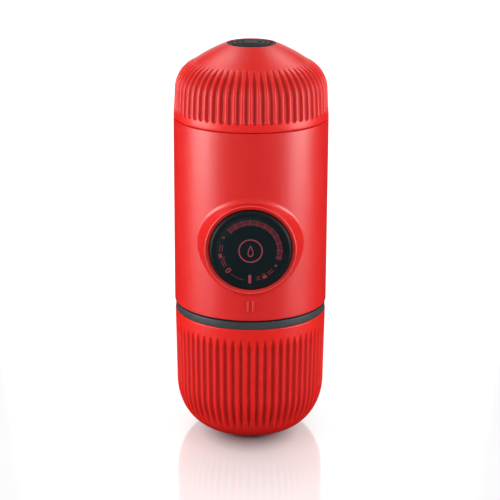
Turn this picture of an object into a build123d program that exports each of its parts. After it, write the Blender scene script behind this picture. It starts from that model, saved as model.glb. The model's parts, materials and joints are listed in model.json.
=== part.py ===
"""Handheld manual espresso maker, in millimetres.

The maker stands on its water tank. From the bottom up: ribbed tank, dark collar ring, plain body tube
with the round pump knob on its front, and a ribbed cup over the coffee outlet. +Z is up, the knob faces
-Y, and the origin is the middle of the tank's flat foot.
"""

import os
from math import radians, sqrt, tan

from build123d import *

# Heights of the stack, from the foot up
tank_height = 49.6
collar_height = 3.5
collar_gap = 0.25
shell_height = 73.45
cup_gap = 0.2
cup_height = 28.6
foot_pad_proud = 0.4

# Radii and walls of the outer pieces
body_radius = 30.0
shell_wall = 2.0
collar_inset = 0.4
tank_top_inset = 0.2
tank_taper = 0.5
tank_round_width = 15.8
tank_round_height = 20.0
tank_wall = 2.2
liner_wall = 1.6
cup_taper = 0.6
cup_crown_height = 17.8
cup_shoulder_radius = 11.8
cup_slope = 28.5
cup_rim_wall = 2.8
cup_dome_wall = 2.3
cup_top_wall = 2.6
cup_top_land = 0.3
foot_pad_inset = 20.7
foot_pad_depth = 1.2

# Grip ribs: grooves all round with narrow crests between them
rib_count = 60
groove_width = 2.0
groove_depth = 0.95
groove_margin = 3.6
tank_groove_low = 12.5
tank_groove_run_in = 1.35
cup_groove_reach = 6.8

# Pump: knob, boss and cylinder lie on one horizontal axis
pump_rise = 29.35
knob_radius = 15.5
knob_proud = 4.0
knob_plate = 3.0
knob_wall = 1.6
knob_bevel = 0.8
dial_inset = 2.3
dial_thickness = 0.8
ridge_margin = 1.8
ridge_proud = 2.9
ridge_width = 0.4
boss_flare = 0.264
boss_fillet = 2.0
boss_root_depth = 8.0
shoulder_set_back = 1.0
ridge_dip = 0.3
bar_spacing = 2.0
bar_width = 0.65
bar_length = 4.3
bar_proud = 0.35
bar_rise = 5.8
stroke = 16.0
lock_angle = 45.0
lug_count = 3
lug_width = 30.0
lug_height = 1.1
lug_thickness = 1.9
lug_angle = 90.0
stop_play = 1.5
stop_length = 10.0
pump_bore = 7.5
pump_wall = 3.5
web_gap = 0.8
web_thickness = 2.5
sleeve_wall = 2.0
gland_margin = 1.0
gland_length = 4.5
gland_step = 1.0
chamber_length = 4.0
cylinder_end_wall = 2.8
rod_radius = 3.5
rod_stub_radius = 3.0
rod_flange_inset = 1.5
rod_flange_thickness = 1.5
knob_hub_radius = 6.0
knob_hub_length = 5.0
knob_recess_radius = 5.5
knob_recess_plate = 0.8
knob_screw_radius = 4.5
knob_screw_head = 0.9
knob_screw_socket = 1.8
dial_set_back = 0.1
piston_length = 4.0
seal_width = 1.8
seal_depth = 1.6
return_wire = 0.7
return_margin = 1.1
return_turns = 6.0

# Water path between the pump and the decks
port_radius = 1.5
port_boss_radius = 4.5
valve_pocket_radius = 3.2
valve_pocket_height = 6.0
valve_seat_height = 1.5
valve_flap_radius = 2.5
valve_flap_thickness = 0.6
valve_hole_circle = 1.6
valve_hole_count = 6
valve_hole_radius = 0.45
outlet_seat_margin = 2.3
outlet_pocket_radius = 2.6
outlet_chamber = 7.0
ball_radius = 2.1
ball_spring_rise = 1.6
outlet_wire = 0.25
outlet_coil_radius = 2.0
outlet_turns = 4.0
riser_radius = 3.5
deck_boss_height = 6.0
strainer_radius = 2.8
strainer_thickness = 0.8
strainer_hole_radius = 0.4
channel_floor = 1.0
channel_rise = 2.6
channel_end = 12.0
vent_offset = 15.0
vent_flange_radius = 2.8
vent_beak_length = 2.2
vent_beak_width = 3.4
vent_beak_taper = 18.0

# Decks inside the body tube, and the rods that tie them to the pump
deck_plate = 3.5
deck_rise = 2.8
upper_plate = 5.0
collar_lip_depth = 2.8
collar_hub_depth = 4.2
collar_step = 1.2
pillar_x = 14.0
pillar_ys = (-4.0, 11.0)
pillar_radius = 3.3
brace_thickness = 2.6
brace_drop = 7.0
tie_radius = 1.25
tie_head_radius = 2.4
tie_head_height = 1.8
tie_bite = 3.0
tie_socket_radius = 1.3

# Threads: each ridge and its groove pass this angle at the height where the ridge begins
tank_thread_angle = 50.0
head_thread_angle = 50.0

# Tank thread
tank_neck_wall = 2.4
skirt_wall = 2.6
skirt_length = 10.0
tank_pitch = 4.0
tank_thread_height = 1.0
tank_thread_turns = 1.25
tank_thread_root = 2.0
tank_thread_crest = 1.2
tank_thread_lead_in = 2.0
tank_thread_run_out = 1.9
neck_extra_depth = 2.3

# Brewing end
spigot_wall = 2.7
spigot_inset = 0.6
spigot_height = 3.7
grip_ring_section = 0.9
neck_wall = 2.2
neck_height = 10.8
head_pitch = 3.0
head_thread_height = 0.9
head_thread_turns = 1.25
head_thread_root = 1.5
head_thread_crest = 0.8
head_thread_run_out = 1.4
chamber_radius = 14.5
chamber_depth = 1.5
screen_thickness = 0.8
screen_play = 0.5
screen_screw_radius = 1.5
screen_screw_head = 3.0
screen_head_height = 1.2
screen_hole_radius = 0.6
screen_hole_circles = ((6.0, 10), (9.5, 16), (13.0, 22))
basket_play = 0.7
basket_wall = 0.6
basket_proud = 1.0
basket_rim = 0.5
basket_hole_radius = 0.4
basket_hole_circles = ((0.0, 1), (3.0, 6), (6.0, 12), (9.0, 18), (12.0, 24), (15.0, 30))
scoop_play = 0.5
scoop_wall = 1.2
scoop_headroom = 0.8
head_side_gap = 1.6
head_side_wall = 5.0
head_side_height = 6.6
head_crown_height = 6.3
head_corner = 2.8
head_scallops = 24
scallop_depth = 0.7
scallop_radius = 2.4
scallop_run_out = 1.0
spout_radius = 6.5
spout_height = 3.7
spout_stem = 3.6
spout_bore = 2.0
spout_plug = 1.6
spout_land = 2.5
spout_flare = 1.0
spout_draft = 0.8
funnel_wall_height = 1.5
gasket_thickness = 1.0

# Clearances
slip = 0.1
running = 0.05
free_gap = 0.3
thread_gap = 0.4
face_gap = 0.05

# Small chamfer on outer rims
edge_break = 0.25

# Levels that follow from the heights above
collar_bottom = tank_height + face_gap
collar_top = tank_height + collar_height
shell_bottom = collar_top + collar_gap
shell_top = shell_bottom + shell_height
cup_bottom = shell_top + cup_gap
cup_top = cup_bottom + cup_height
maker_height = cup_top + foot_pad_proud
shell_bore = body_radius - shell_wall
deck_bottom = tank_height
deck_top = collar_top + deck_rise
plate_bottom = deck_top - deck_plate
upper_top = shell_top - slip
upper_bottom = upper_top - upper_plate
deck_radius = shell_bore - slip
collar_lip_radius = body_radius - collar_lip_depth
collar_hub_radius = body_radius - collar_hub_depth
pillar_places = [(x, y) for x in (-pillar_x, pillar_x) for y in pillar_ys]

# Places, radii and depths of the pump that follow
pump_height = shell_bottom + pump_rise
bar_height = shell_bottom + bar_rise
knob_reach = body_radius + knob_proud
ridge_reach = body_radius + ridge_proud
shoulder_reach = body_radius - shoulder_set_back
ridge_radius = knob_radius + ridge_margin
dial_radius = knob_radius - dial_inset
knob_bore = knob_radius + free_gap
knob_disc_back = knob_reach - knob_plate
lug_radius = knob_radius + lug_height
sleeve_bore = lug_radius + free_gap
sleeve_radius = sleeve_bore + sleeve_wall
lock_ring_back = shoulder_reach - free_gap - stroke - lug_thickness
lock_ring_front = lock_ring_back + lug_thickness
web_reach = lock_ring_back - web_gap
cylinder_radius = pump_bore + pump_wall
piston_radius = pump_bore - free_gap
gland_radius = pump_bore + gland_margin
return_coil_radius = gland_radius + return_margin
bore_front = web_reach - gland_length - gland_step
piston_front = bore_front - gland_step - stroke
piston_back = piston_front - piston_length
bore_back = piston_back - chamber_length
port_depth = bore_back + chamber_length / 2
port_y = -port_depth
cylinder_back = bore_back - cylinder_end_wall
knob_recess_floor = knob_disc_back + knob_recess_plate
rod_stub_front = knob_recess_floor + free_gap
rod_flange_radius = knob_radius - knob_wall - rod_flange_inset
rod_flange_front = knob_disc_back - knob_hub_length - free_gap
rod_flange_back = rod_flange_front - rod_flange_thickness
outlet_seat = pump_height + cylinder_radius + outlet_seat_margin
outlet_top = outlet_seat + outlet_chamber
dial_floor = knob_reach - dial_thickness
stop_width = 360 / lug_count - lug_width - lock_angle - 2 * stop_play
stop_angle = lug_angle + lug_width / 2 + lock_angle + stop_play + stop_width / 2

# Radii and levels of the brewing end that follow
cup_waist_radius = body_radius - cup_taper
cup_bore = body_radius - cup_rim_wall
cup_shoulder_bottom = cup_top - cup_crown_height
cup_groove_inner_radius = cup_waist_radius - cup_groove_reach
foot_pad_radius = body_radius - foot_pad_inset
spigot_radius = cup_bore - spigot_inset
spigot_top = upper_top + spigot_height
head_grip_radius = cup_bore - head_side_gap
neck_radius = head_grip_radius - head_side_wall
neck_top = upper_top + neck_height
neck_bore = neck_radius - neck_wall
head_bottom = spigot_top + thread_gap
head_ceiling = neck_top + gasket_thickness + 2 * face_gap
head_dome_top = head_ceiling + head_crown_height
spout_top = head_dome_top + spout_height
head_bore = neck_radius + thread_gap
screen_top = upper_top + screen_thickness
screen_radius = neck_bore - screen_play
basket_radius = neck_bore - basket_play
basket_height = neck_height + basket_proud
scoop_radius = basket_radius - basket_wall - scoop_play
scoop_height = basket_height - basket_wall - scoop_headroom
cup_ceiling = cup_top - cup_top_wall
cup_slope_rise = tan(radians(cup_slope))

# Tank levels and radii that follow
tank_top_radius = body_radius - tank_top_inset
tank_waist_radius = tank_top_radius - tank_taper
foot_radius = tank_waist_radius - tank_round_width
tank_bore = tank_waist_radius - tank_wall
liner_radius = tank_bore - slip
liner_bore = liner_radius - liner_wall
liner_top = tank_height - gasket_thickness - 3 * slip
thread_bore = liner_radius - tank_neck_wall
skirt_radius = thread_bore - thread_gap
neck_depth = skirt_length + neck_extra_depth

# The pump's axis points out of the knob. Its section plane has depth towards the knob and radius upwards.
pump_axis = Axis((0, 0, pump_height), (0, -1, 0))
pump_section = Plane(origin=(0, 0, pump_height), x_dir=(0, -1, 0), z_dir=(-1, 0, 0))
pump_face = Plane(origin=(0, 0, pump_height), x_dir=(1, 0, 0), z_dir=(0, -1, 0))


def turn(outline, plane=Plane.XZ, axis=Axis.Z, mode=Mode.ADD):
    """Turns a closed outline of straight sides about an axis, in the part being built."""
    with BuildSketch(plane) as section:
        with BuildLine():
            Polyline(*outline, close=True)
        make_face()
    revolve(section.sketch, axis=axis, mode=mode)


def turn_on_pump(outline, mode=Mode.ADD):
    """Turns an outline of (depth towards the knob, radius) points about the pump's axis."""
    turn(outline, plane=pump_section, axis=pump_axis, mode=mode)


def ring_outline(inner, outer, low, high):
    """The four corners of a plain ring's section: radius across, height up."""
    return ((inner, low), (outer, low), (outer, high), (inner, high))


def pump_ring(inner, outer, back, front):
    """The four corners of a ring's section on the pump's axis: depth across, radius up."""
    return ((back, inner), (front, inner), (front, outer), (back, outer))


def thread_coil(radius, height, root, crest, pitch, low, high, bite, angle, foot):
    """One helical ridge of trapezoid section, whose root lies bite inside the radius.

    It passes the angle at the height of the thread's foot, whatever height it begins at.
    """
    with BuildPart(mode=Mode.PRIVATE) as coil:
        with BuildLine() as path:
            Helix(pitch, high - low, radius, center=(0, 0, low))
        start = path.line @ 0
        with BuildSketch(Plane(origin=start, x_dir=(1, 0, 0), z_dir=path.line % 0)):
            with BuildLine():
                Polyline(
                    (-bite, -root / 2),
                    (0, -root / 2),
                    (height, -crest / 2),
                    (height, crest / 2),
                    (0, root / 2),
                    (-bite, root / 2),
                    close=True,
                )
            make_face()
        sweep(path=path.line, is_frenet=True)
    return coil.part.rotate(Axis.Z, angle + 360 * (low - foot) / pitch)


def coil_spring(wire, coil_radius, length, turns):
    """A plain compression spring that stands on the XY plane, between its two end faces."""
    with BuildPart(mode=Mode.PRIVATE) as coil:
        with BuildLine() as path:
            Helix((length - 2 * wire) / turns, length - 2 * wire, coil_radius, center=(0, 0, wire))
        with BuildSketch(Plane(origin=path.line @ 0, z_dir=path.line % 0)):
            Circle(wire)
        sweep(path=path.line, is_frenet=True)
    return coil.part


def ring_sector(inner, outer, angle):
    """A piece of a flat ring that spans the angle, with its middle on +X."""
    with BuildSketch() as sector:
        with BuildLine():
            outer_arc = CenterArc((0, 0), outer, -angle / 2, angle)
            inner_arc = CenterArc((0, 0), inner, -angle / 2, angle)
            Line(outer_arc @ 0, inner_arc @ 0)
            Line(outer_arc @ 1, inner_arc @ 1)
        make_face()
    return sector.sketch


def groove_cutters(outline_edges, width):
    """The slots of one ribbed piece: its groove's side outline, made as wide as a groove, all round."""
    with BuildPart(mode=Mode.PRIVATE) as cutters:
        with BuildSketch(Plane.XZ) as side:
            add(outline_edges)
            make_face()
        with PolarLocations(0, rib_count):
            add(extrude(side.sketch, amount=width / 2, both=True, mode=Mode.PRIVATE))
    return cutters.part


# Water tank: ribbed outer shell
with BuildPart() as tank_shell:
    with BuildSketch(Plane.XZ):
        with BuildLine():
            Line((0, 0), (foot_radius, 0))
            EllipticalCenterArc(
                (foot_radius, tank_round_height), tank_round_width, tank_round_height, 270, arc_size=90
            )
            Line((tank_waist_radius, tank_round_height), (tank_top_radius, tank_height))
            Line((tank_top_radius, tank_height), (tank_bore, tank_height))
            Line((tank_bore, tank_height), (tank_bore, tank_round_height))
            EllipticalCenterArc(
                (foot_radius, tank_round_height),
                tank_round_width - tank_wall,
                tank_round_height - tank_wall,
                270,
                arc_size=90,
            )
            Line((foot_radius, tank_wall), (0, tank_wall))
            Line((0, tank_wall), (0, 0))
        make_face()
    revolve(axis=Axis.Z)
    with BuildLine(mode=Mode.PRIVATE) as tank_groove:
        Polyline(
            (tank_top_radius + groove_depth, tank_height - groove_margin + 2 * groove_depth),
            (tank_top_radius - groove_depth, tank_height - groove_margin),
            (tank_waist_radius - groove_depth, tank_round_height),
            (tank_waist_radius - groove_depth - tank_groove_run_in, tank_groove_low),
            (tank_waist_radius + groove_depth, tank_groove_low - 2 * groove_depth),
            close=True,
        )
    add(groove_cutters(tank_groove.line, groove_width), mode=Mode.SUBTRACT)

# Water tank: inner bottle with a threaded neck
with BuildPart() as tank_liner:
    with BuildSketch(Plane.XZ):
        with BuildLine():
            Line((0, tank_wall), (foot_radius, tank_wall))
            EllipticalCenterArc(
                (foot_radius, tank_round_height),
                liner_radius - foot_radius,
                tank_round_height - tank_wall,
                270,
                arc_size=90,
            )
            Polyline(
                (liner_radius, tank_round_height),
                (liner_radius, liner_top),
                (thread_bore, liner_top),
                (thread_bore, liner_top - neck_depth),
                (liner_bore, liner_top - neck_depth - 1),
                (liner_bore, tank_round_height),
            )
            EllipticalCenterArc(
                (foot_radius, tank_round_height),
                liner_bore - foot_radius,
                tank_round_height - tank_wall - liner_wall,
                270,
                arc_size=90,
            )
            Polyline(
                (foot_radius, tank_wall + liner_wall),
                (0, tank_wall + liner_wall),
                (0, tank_wall),
            )
        make_face()
    revolve(axis=Axis.Z)
    tank_thread_low = tank_height - skirt_length + tank_thread_run_out
    tank_thread_high = tank_thread_low + tank_pitch * tank_thread_turns
    add(
        thread_coil(
            thread_bore,
            tank_thread_height,
            root=tank_thread_root + 2 * free_gap,
            crest=tank_thread_crest + 2 * free_gap,
            pitch=tank_pitch,
            low=tank_thread_low - tank_thread_lead_in,
            high=liner_top + tank_pitch / 2,
            bite=free_gap,
            angle=tank_thread_angle,
            foot=tank_thread_low,
        ),
        mode=Mode.SUBTRACT,
    )

# Flat gasket between the tank's neck and the deck above it
with BuildPart() as tank_gasket:
    gasket_low = liner_top + face_gap
    turn(
        ring_outline(
            skirt_radius + tank_thread_height + free_gap,
            tank_bore - free_gap,
            gasket_low,
            gasket_low + gasket_thickness,
        )
    )

# Lower deck: plate, flange inside the body tube, lip under the collar and the tank's thread
with BuildPart() as lower_deck:
    skirt_bore = skirt_radius - skirt_wall
    turn(
        (
            (0, plate_bottom),
            (skirt_bore, plate_bottom),
            (skirt_bore, tank_height - skirt_length),
            (skirt_radius, tank_height - skirt_length),
            (skirt_radius, deck_bottom),
            (collar_lip_radius, deck_bottom),
            (collar_lip_radius, deck_bottom + collar_step),
            (collar_hub_radius, deck_bottom + collar_step),
            (collar_hub_radius, collar_top),
            (deck_radius, collar_top),
            (deck_radius, deck_top),
            (0, deck_top),
        )
    )
    add(
        thread_coil(
            skirt_radius,
            tank_thread_height,
            root=tank_thread_root,
            crest=tank_thread_crest,
            pitch=tank_pitch,
            low=tank_thread_low,
            high=tank_thread_high,
            bite=free_gap,
            angle=tank_thread_angle,
            foot=tank_thread_low,
        )
    )
    with BuildSketch(Plane.XY.offset(plate_bottom)):
        with Locations((0, port_y), (0, -vent_offset)):
            Circle(port_radius)
        with Locations(*pillar_places):
            Circle(tie_radius + slip)
    extrude(amount=deck_plate, mode=Mode.SUBTRACT)

# Collar: the dark ring between body and tank, held by its inner step
with BuildPart() as collar_ring:
    collar_radius = body_radius - collar_inset
    turn(
        (
            (collar_lip_radius + slip, collar_bottom),
            (collar_radius, collar_bottom),
            (collar_radius, collar_top),
            (collar_hub_radius + slip, collar_top),
            (collar_hub_radius + slip, deck_bottom + collar_step),
            (collar_lip_radius + slip, deck_bottom + collar_step),
        )
    )
    rim = collar_ring.edges().filter_by(GeomType.CIRCLE).group_by(SortBy.RADIUS)[-1]
    chamfer(rim, edge_break)

# Body tube with the round boss that the knob sits in, and two index bars below it
with BuildPart() as main_shell:
    with BuildSketch(Plane.XY.offset(shell_bottom)):
        Circle(body_radius)
    extrude(amount=shell_height)
    boss_root_reach = shell_bore - boss_root_depth
    boss_root_radius = ridge_radius + boss_flare * (ridge_reach - boss_root_reach)
    turn_on_pump(
        (
            (boss_root_reach, 0),
            (ridge_reach, 0),
            (ridge_reach, ridge_radius),
            (boss_root_reach, boss_root_radius),
        )
    )
    boss_seam = (
        main_shell.edges()
        .filter_by(lambda e: e.geom_type not in (GeomType.CIRCLE, GeomType.LINE))
        .sort_by(SortBy.LENGTH)[-1]
    )
    fillet(boss_seam, boss_fillet)
    with BuildSketch(Plane.XY.offset(shell_bottom)):
        Circle(shell_bore)
    extrude(amount=shell_height, mode=Mode.SUBTRACT)
    turn_on_pump(pump_ring(0, sleeve_bore, 0, shoulder_reach), mode=Mode.SUBTRACT)
    bore_edge_reach = ridge_reach - (ridge_radius - ridge_width - knob_bore) * ridge_dip
    turn_on_pump(
        (
            (shoulder_reach, 0),
            (ridge_reach, 0),
            (ridge_reach, ridge_radius - ridge_width),
            (bore_edge_reach, knob_bore),
            (shoulder_reach, knob_bore),
        ),
        mode=Mode.SUBTRACT,
    )
    with BuildSketch(Plane.XZ.offset(body_radius + bar_proud)):
        with Locations((-bar_spacing / 2, bar_height), (bar_spacing / 2, bar_height)):
            SlotOverall(bar_length, bar_width, rotation=90)
    extrude(amount=-2 * bar_proud)
    tube_rims = main_shell.edges().filter_by(GeomType.CIRCLE).filter_by(lambda e: e.radius == body_radius)
    chamfer(tube_rims.group_by(Axis.Z)[0] + tube_rims.group_by(Axis.Z)[-1], edge_break)

# Pump body: guide sleeve, web, cylinder, port bosses and the pillars that the decks clamp
with BuildPart() as pump_body:
    web_back = web_reach - web_thickness
    turn_on_pump(
        (
            (cylinder_back, 0),
            (cylinder_back, cylinder_radius),
            (web_back, cylinder_radius),
            (web_back, sleeve_radius),
            (shell_bore, sleeve_radius),
            (shell_bore, 0),
        )
    )
    with BuildSketch(Plane.XY.offset(deck_top)):
        Circle(deck_radius)
    extrude(amount=upper_bottom - deck_top, mode=Mode.INTERSECT)
    with BuildSketch(Plane.XY.offset(pump_height - brace_drop)):
        with Locations((0, sum(pillar_ys) / 2)):
            Rectangle(2 * pillar_x - pillar_radius / 3, pillar_ys[1] - pillar_ys[0] - pillar_radius / 3)
    extrude(amount=brace_thickness)
    with BuildSketch(Plane.XY.offset(deck_top)):
        with Locations(*pillar_places):
            Circle(pillar_radius)
    extrude(amount=upper_bottom - deck_top)
    with BuildSketch(Plane.XY.offset(deck_top)):
        with Locations((0, port_y)):
            Circle(port_boss_radius)
    extrude(amount=outlet_top - deck_top)
    turn_on_pump(
        (
            (bore_back, 0),
            (shell_bore, 0),
            (shell_bore, sleeve_bore),
            (web_reach, sleeve_bore),
            (web_reach, gland_radius),
            (bore_front, gland_radius),
            (bore_front, pump_bore),
            (bore_back, pump_bore),
        ),
        mode=Mode.SUBTRACT,
    )
    with BuildSketch(pump_face.offset(web_reach)):
        with PolarLocations(0, lug_count, start_angle=stop_angle):
            add(ring_sector(knob_bore, sleeve_bore + running, stop_width))
    extrude(amount=stop_length)
    with BuildSketch(Plane.XY.offset(deck_top)):
        with Locations((0, port_y)):
            Circle(port_radius)
        with Locations(*pillar_places):
            Circle(tie_radius + slip)
    extrude(amount=upper_bottom - deck_top, mode=Mode.SUBTRACT)
    with BuildSketch(Plane.XY.offset(deck_top)):
        with Locations((0, port_y)):
            Circle(valve_pocket_radius)
    extrude(amount=valve_pocket_height, mode=Mode.SUBTRACT)
    with BuildSketch(Plane.XY.offset(outlet_seat)):
        with Locations((0, port_y)):
            Circle(outlet_pocket_radius)
    extrude(amount=outlet_top - outlet_seat, mode=Mode.SUBTRACT)

# Gland: closes the cylinder round the piston rod
with BuildPart() as gland_cap:
    turn_on_pump(pump_ring(rod_radius + running, gland_radius, bore_front, web_reach - gland_step / 2))

# Piston rod with the flange that the return spring pushes, and the stub that the knob turns on
with BuildPart() as piston_rod:
    turn_on_pump(
        (
            (piston_front, 0),
            (rod_stub_front, 0),
            (rod_stub_front, rod_stub_radius),
            (rod_flange_front, rod_stub_radius),
            (rod_flange_front, rod_flange_radius),
            (rod_flange_back, rod_flange_radius),
            (rod_flange_back, rod_radius),
            (piston_front, rod_radius),
        )
    )

with BuildPart() as piston_head:
    seal_back = (piston_front + piston_back - seal_width) / 2
    turn_on_pump(
        (
            (piston_back, 0),
            (piston_front, 0),
            (piston_front, piston_radius),
            (seal_back + seal_width, piston_radius),
            (seal_back + seal_width, piston_radius - seal_depth),
            (seal_back, piston_radius - seal_depth),
            (seal_back, piston_radius),
            (piston_back, piston_radius),
        )
    )

with BuildPart() as piston_seal:
    turn_on_pump(
        pump_ring(piston_radius - seal_depth, pump_bore - running, seal_back, seal_back + seal_width)
    )

# Screw that holds the knob on the rod's stub
with BuildPart() as rod_screw:
    turn_on_pump(pump_ring(0, knob_screw_radius, rod_stub_front, rod_stub_front + knob_screw_head))
    with BuildSketch(pump_face.offset(rod_stub_front + knob_screw_head)):
        RegularPolygon(radius=knob_screw_socket, side_count=6)
    extrude(amount=-knob_screw_head / 2, mode=Mode.SUBTRACT)

# Return spring, between the web and the rod's flange
with BuildPart() as return_spring:
    spring_length = rod_flange_back - web_reach
    add(
        coil_spring(return_wire, return_coil_radius, spring_length, return_turns).moved(
            pump_face.offset(web_reach).location
        )
    )

# Knob: plate, skirt that slides in the boss, and a hub on the rod's stub
with BuildPart() as piston_knob:
    turn_on_pump(
        (
            (lock_ring_front, knob_radius - knob_wall),
            (lock_ring_front, knob_radius),
            (knob_reach - knob_bevel, knob_radius),
            (knob_reach, knob_radius - knob_bevel),
            (knob_reach, dial_radius + running),
            (dial_floor, dial_radius + running),
            (dial_floor, knob_recess_radius),
            (knob_recess_floor, knob_recess_radius),
            (knob_recess_floor, rod_stub_radius + running),
            (rod_flange_front + free_gap, rod_stub_radius + running),
            (rod_flange_front + free_gap, knob_hub_radius),
            (knob_disc_back, knob_hub_radius),
            (knob_disc_back, knob_radius - knob_wall),
        )
    )

with BuildPart() as knob_dial:
    turn_on_pump(pump_ring(0, dial_radius, dial_floor, knob_reach - dial_set_back))

# Lock ring: the knob's bayonet lugs
with BuildPart() as lock_ring:
    turn_on_pump(pump_ring(knob_radius - knob_wall, knob_radius, lock_ring_back, lock_ring_front))
    with BuildSketch(pump_face.offset(lock_ring_back)):
        with PolarLocations(0, lug_count, start_angle=lug_angle):
            add(ring_sector(knob_radius - knob_wall / 2, lug_radius, lug_width))
    extrude(amount=lug_thickness)

# Valves and strainer of the water path
with BuildPart() as inlet_valve:
    with BuildSketch(Plane.XY.offset(deck_top)):
        with Locations((0, port_y)):
            Circle(valve_pocket_radius - slip)
    extrude(amount=valve_seat_height)
    with BuildSketch(Plane.XY.offset(deck_top + valve_seat_height)):
        with Locations((0, port_y)):
            Circle(valve_flap_radius)
    extrude(amount=valve_flap_thickness)
    with BuildSketch(Plane.XY.offset(deck_top)):
        with Locations((0, port_y)):
            with PolarLocations(valve_hole_circle, valve_hole_count):
                Circle(valve_hole_radius)
    extrude(amount=valve_seat_height, mode=Mode.SUBTRACT)

with BuildPart() as inlet_strainer:
    with BuildSketch(Plane.XY.offset(plate_bottom)):
        with Locations((0, port_y)):
            Circle(strainer_radius)
            with PolarLocations(valve_hole_circle, valve_hole_count):
                Circle(strainer_hole_radius, mode=Mode.SUBTRACT)
            Circle(strainer_hole_radius, mode=Mode.SUBTRACT)
    extrude(amount=-strainer_thickness)

with BuildPart() as vent_valve:
    with BuildSketch(Plane.XY.offset(plate_bottom)):
        with Locations((0, -vent_offset)):
            Circle(vent_flange_radius)
    extrude(amount=-strainer_thickness)
    with BuildSketch(Plane.XY.offset(plate_bottom - strainer_thickness)):
        with Locations((0, -vent_offset)):
            Rectangle(vent_beak_width, vent_flange_radius)
    extrude(amount=-vent_beak_length, taper=vent_beak_taper)

with BuildPart() as outlet_ball:
    ball_rise = sqrt(ball_radius**2 - port_radius**2)
    with Locations((0, port_y, outlet_seat + ball_rise)):
        Sphere(ball_radius)

with BuildPart() as outlet_spring:
    outlet_spring_low = outlet_seat + ball_rise + ball_spring_rise
    add(
        coil_spring(outlet_wire, outlet_coil_radius, outlet_top - outlet_spring_low, outlet_turns).moved(
            Location((0, port_y, outlet_spring_low))
        )
    )

with BuildPart() as riser_tube:
    with BuildSketch(Plane.XY.offset(outlet_top)):
        with Locations((0, port_y)):
            Circle(riser_radius)
            Circle(port_radius, mode=Mode.SUBTRACT)
    extrude(amount=upper_bottom - deck_boss_height - outlet_top)

# Upper deck: plate with the threaded brewing neck and the spigot that the cup pushes onto
with BuildPart() as upper_deck:
    spigot_bore = spigot_radius - spigot_wall
    groove_low = (upper_top + spigot_top) / 2 - grip_ring_section
    groove_high = groove_low + 2 * grip_ring_section
    groove_floor = spigot_radius - grip_ring_section * 1.5
    turn(
        (
            (0, upper_bottom),
            (deck_radius, upper_bottom),
            (deck_radius, upper_top),
            (spigot_radius, upper_top),
            (spigot_radius, groove_low),
            (groove_floor, groove_low),
            (groove_floor, groove_high),
            (spigot_radius, groove_high),
            (spigot_radius, spigot_top - edge_break),
            (spigot_radius - edge_break, spigot_top),
            (spigot_bore, spigot_top),
            (spigot_bore, upper_top),
            (neck_radius, upper_top),
            (neck_radius, neck_top),
            (neck_bore, neck_top),
            (neck_bore, upper_top),
            (chamber_radius, upper_top),
            (chamber_radius, upper_top - chamber_depth),
            (0, upper_top - chamber_depth),
        )
    )
    with BuildSketch(Plane.XY.offset(upper_bottom)):
        with Locations((0, port_y)):
            Circle(port_boss_radius)
    extrude(amount=-deck_boss_height)
    head_thread_high = neck_top - head_thread_run_out
    head_thread_low = head_thread_high - head_pitch * head_thread_turns
    add(
        thread_coil(
            neck_radius,
            head_thread_height,
            root=head_thread_root,
            crest=head_thread_crest,
            pitch=head_pitch,
            low=head_thread_low,
            high=head_thread_high,
            bite=free_gap,
            angle=head_thread_angle,
            foot=head_thread_low,
        )
    )
    with BuildSketch(Plane.XY.offset(upper_bottom - deck_boss_height)):
        with Locations((0, port_y)):
            Circle(port_radius)
    extrude(amount=deck_boss_height + channel_rise, mode=Mode.SUBTRACT)
    with BuildSketch(Plane.XY.offset(upper_bottom + channel_floor)):
        with Locations((0, (port_y + channel_end) / 2)):
            Rectangle(2 * port_radius, port_y - channel_end)
    extrude(amount=channel_rise - channel_floor, mode=Mode.SUBTRACT)
    with BuildSketch(Plane.XY.offset(upper_bottom + channel_floor)):
        with Locations((0, channel_end)):
            Circle(port_radius)
    extrude(amount=upper_plate, mode=Mode.SUBTRACT)
    with BuildSketch(Plane.XY.offset(upper_bottom)):
        with Locations(*pillar_places):
            Circle(tie_radius + running)
    extrude(amount=tie_bite + slip, mode=Mode.SUBTRACT)

# Tie screws: one long screw up each pillar, from the lower deck into the upper one
with BuildPart() as tie_screws:
    with BuildSketch(Plane.XY.offset(plate_bottom)):
        with Locations(*pillar_places):
            Circle(tie_head_radius)
    extrude(amount=-tie_head_height)
    with BuildSketch(Plane.XY.offset(plate_bottom)):
        with Locations(*pillar_places):
            Circle(tie_radius)
    extrude(amount=upper_bottom + tie_bite - plate_bottom)
    with BuildSketch(Plane.XY.offset(plate_bottom - tie_head_height)):
        with Locations(*pillar_places):
            RegularPolygon(radius=tie_socket_radius, side_count=6)
    extrude(amount=tie_head_height / 2, mode=Mode.SUBTRACT)

# Soft ring that grips the cup
with BuildPart() as cup_grip_ring:
    with BuildSketch(Plane.XZ):
        with Locations((groove_floor + grip_ring_section, (groove_low + groove_high) / 2)):
            Circle(grip_ring_section - running)
    revolve(axis=Axis.Z)

# Shower screen and its screw
with BuildPart() as shower_screen:
    with BuildSketch(Plane.XY.offset(upper_top)):
        Circle(screen_radius)
        Circle(screen_screw_radius + slip, mode=Mode.SUBTRACT)
        for circle_radius, hole_count in screen_hole_circles:
            with PolarLocations(circle_radius, hole_count):
                Circle(screen_hole_radius, mode=Mode.SUBTRACT)
    extrude(amount=screen_thickness)

with BuildPart() as shower_screw:
    turn(
        (
            (0, upper_top - chamber_depth),
            (screen_screw_radius, upper_top - chamber_depth),
            (screen_screw_radius, screen_top),
            (screen_screw_head, screen_top),
            (screen_screw_head - screen_head_height / 2, screen_top + screen_head_height),
            (0, screen_top + screen_head_height),
        )
    )

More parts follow.
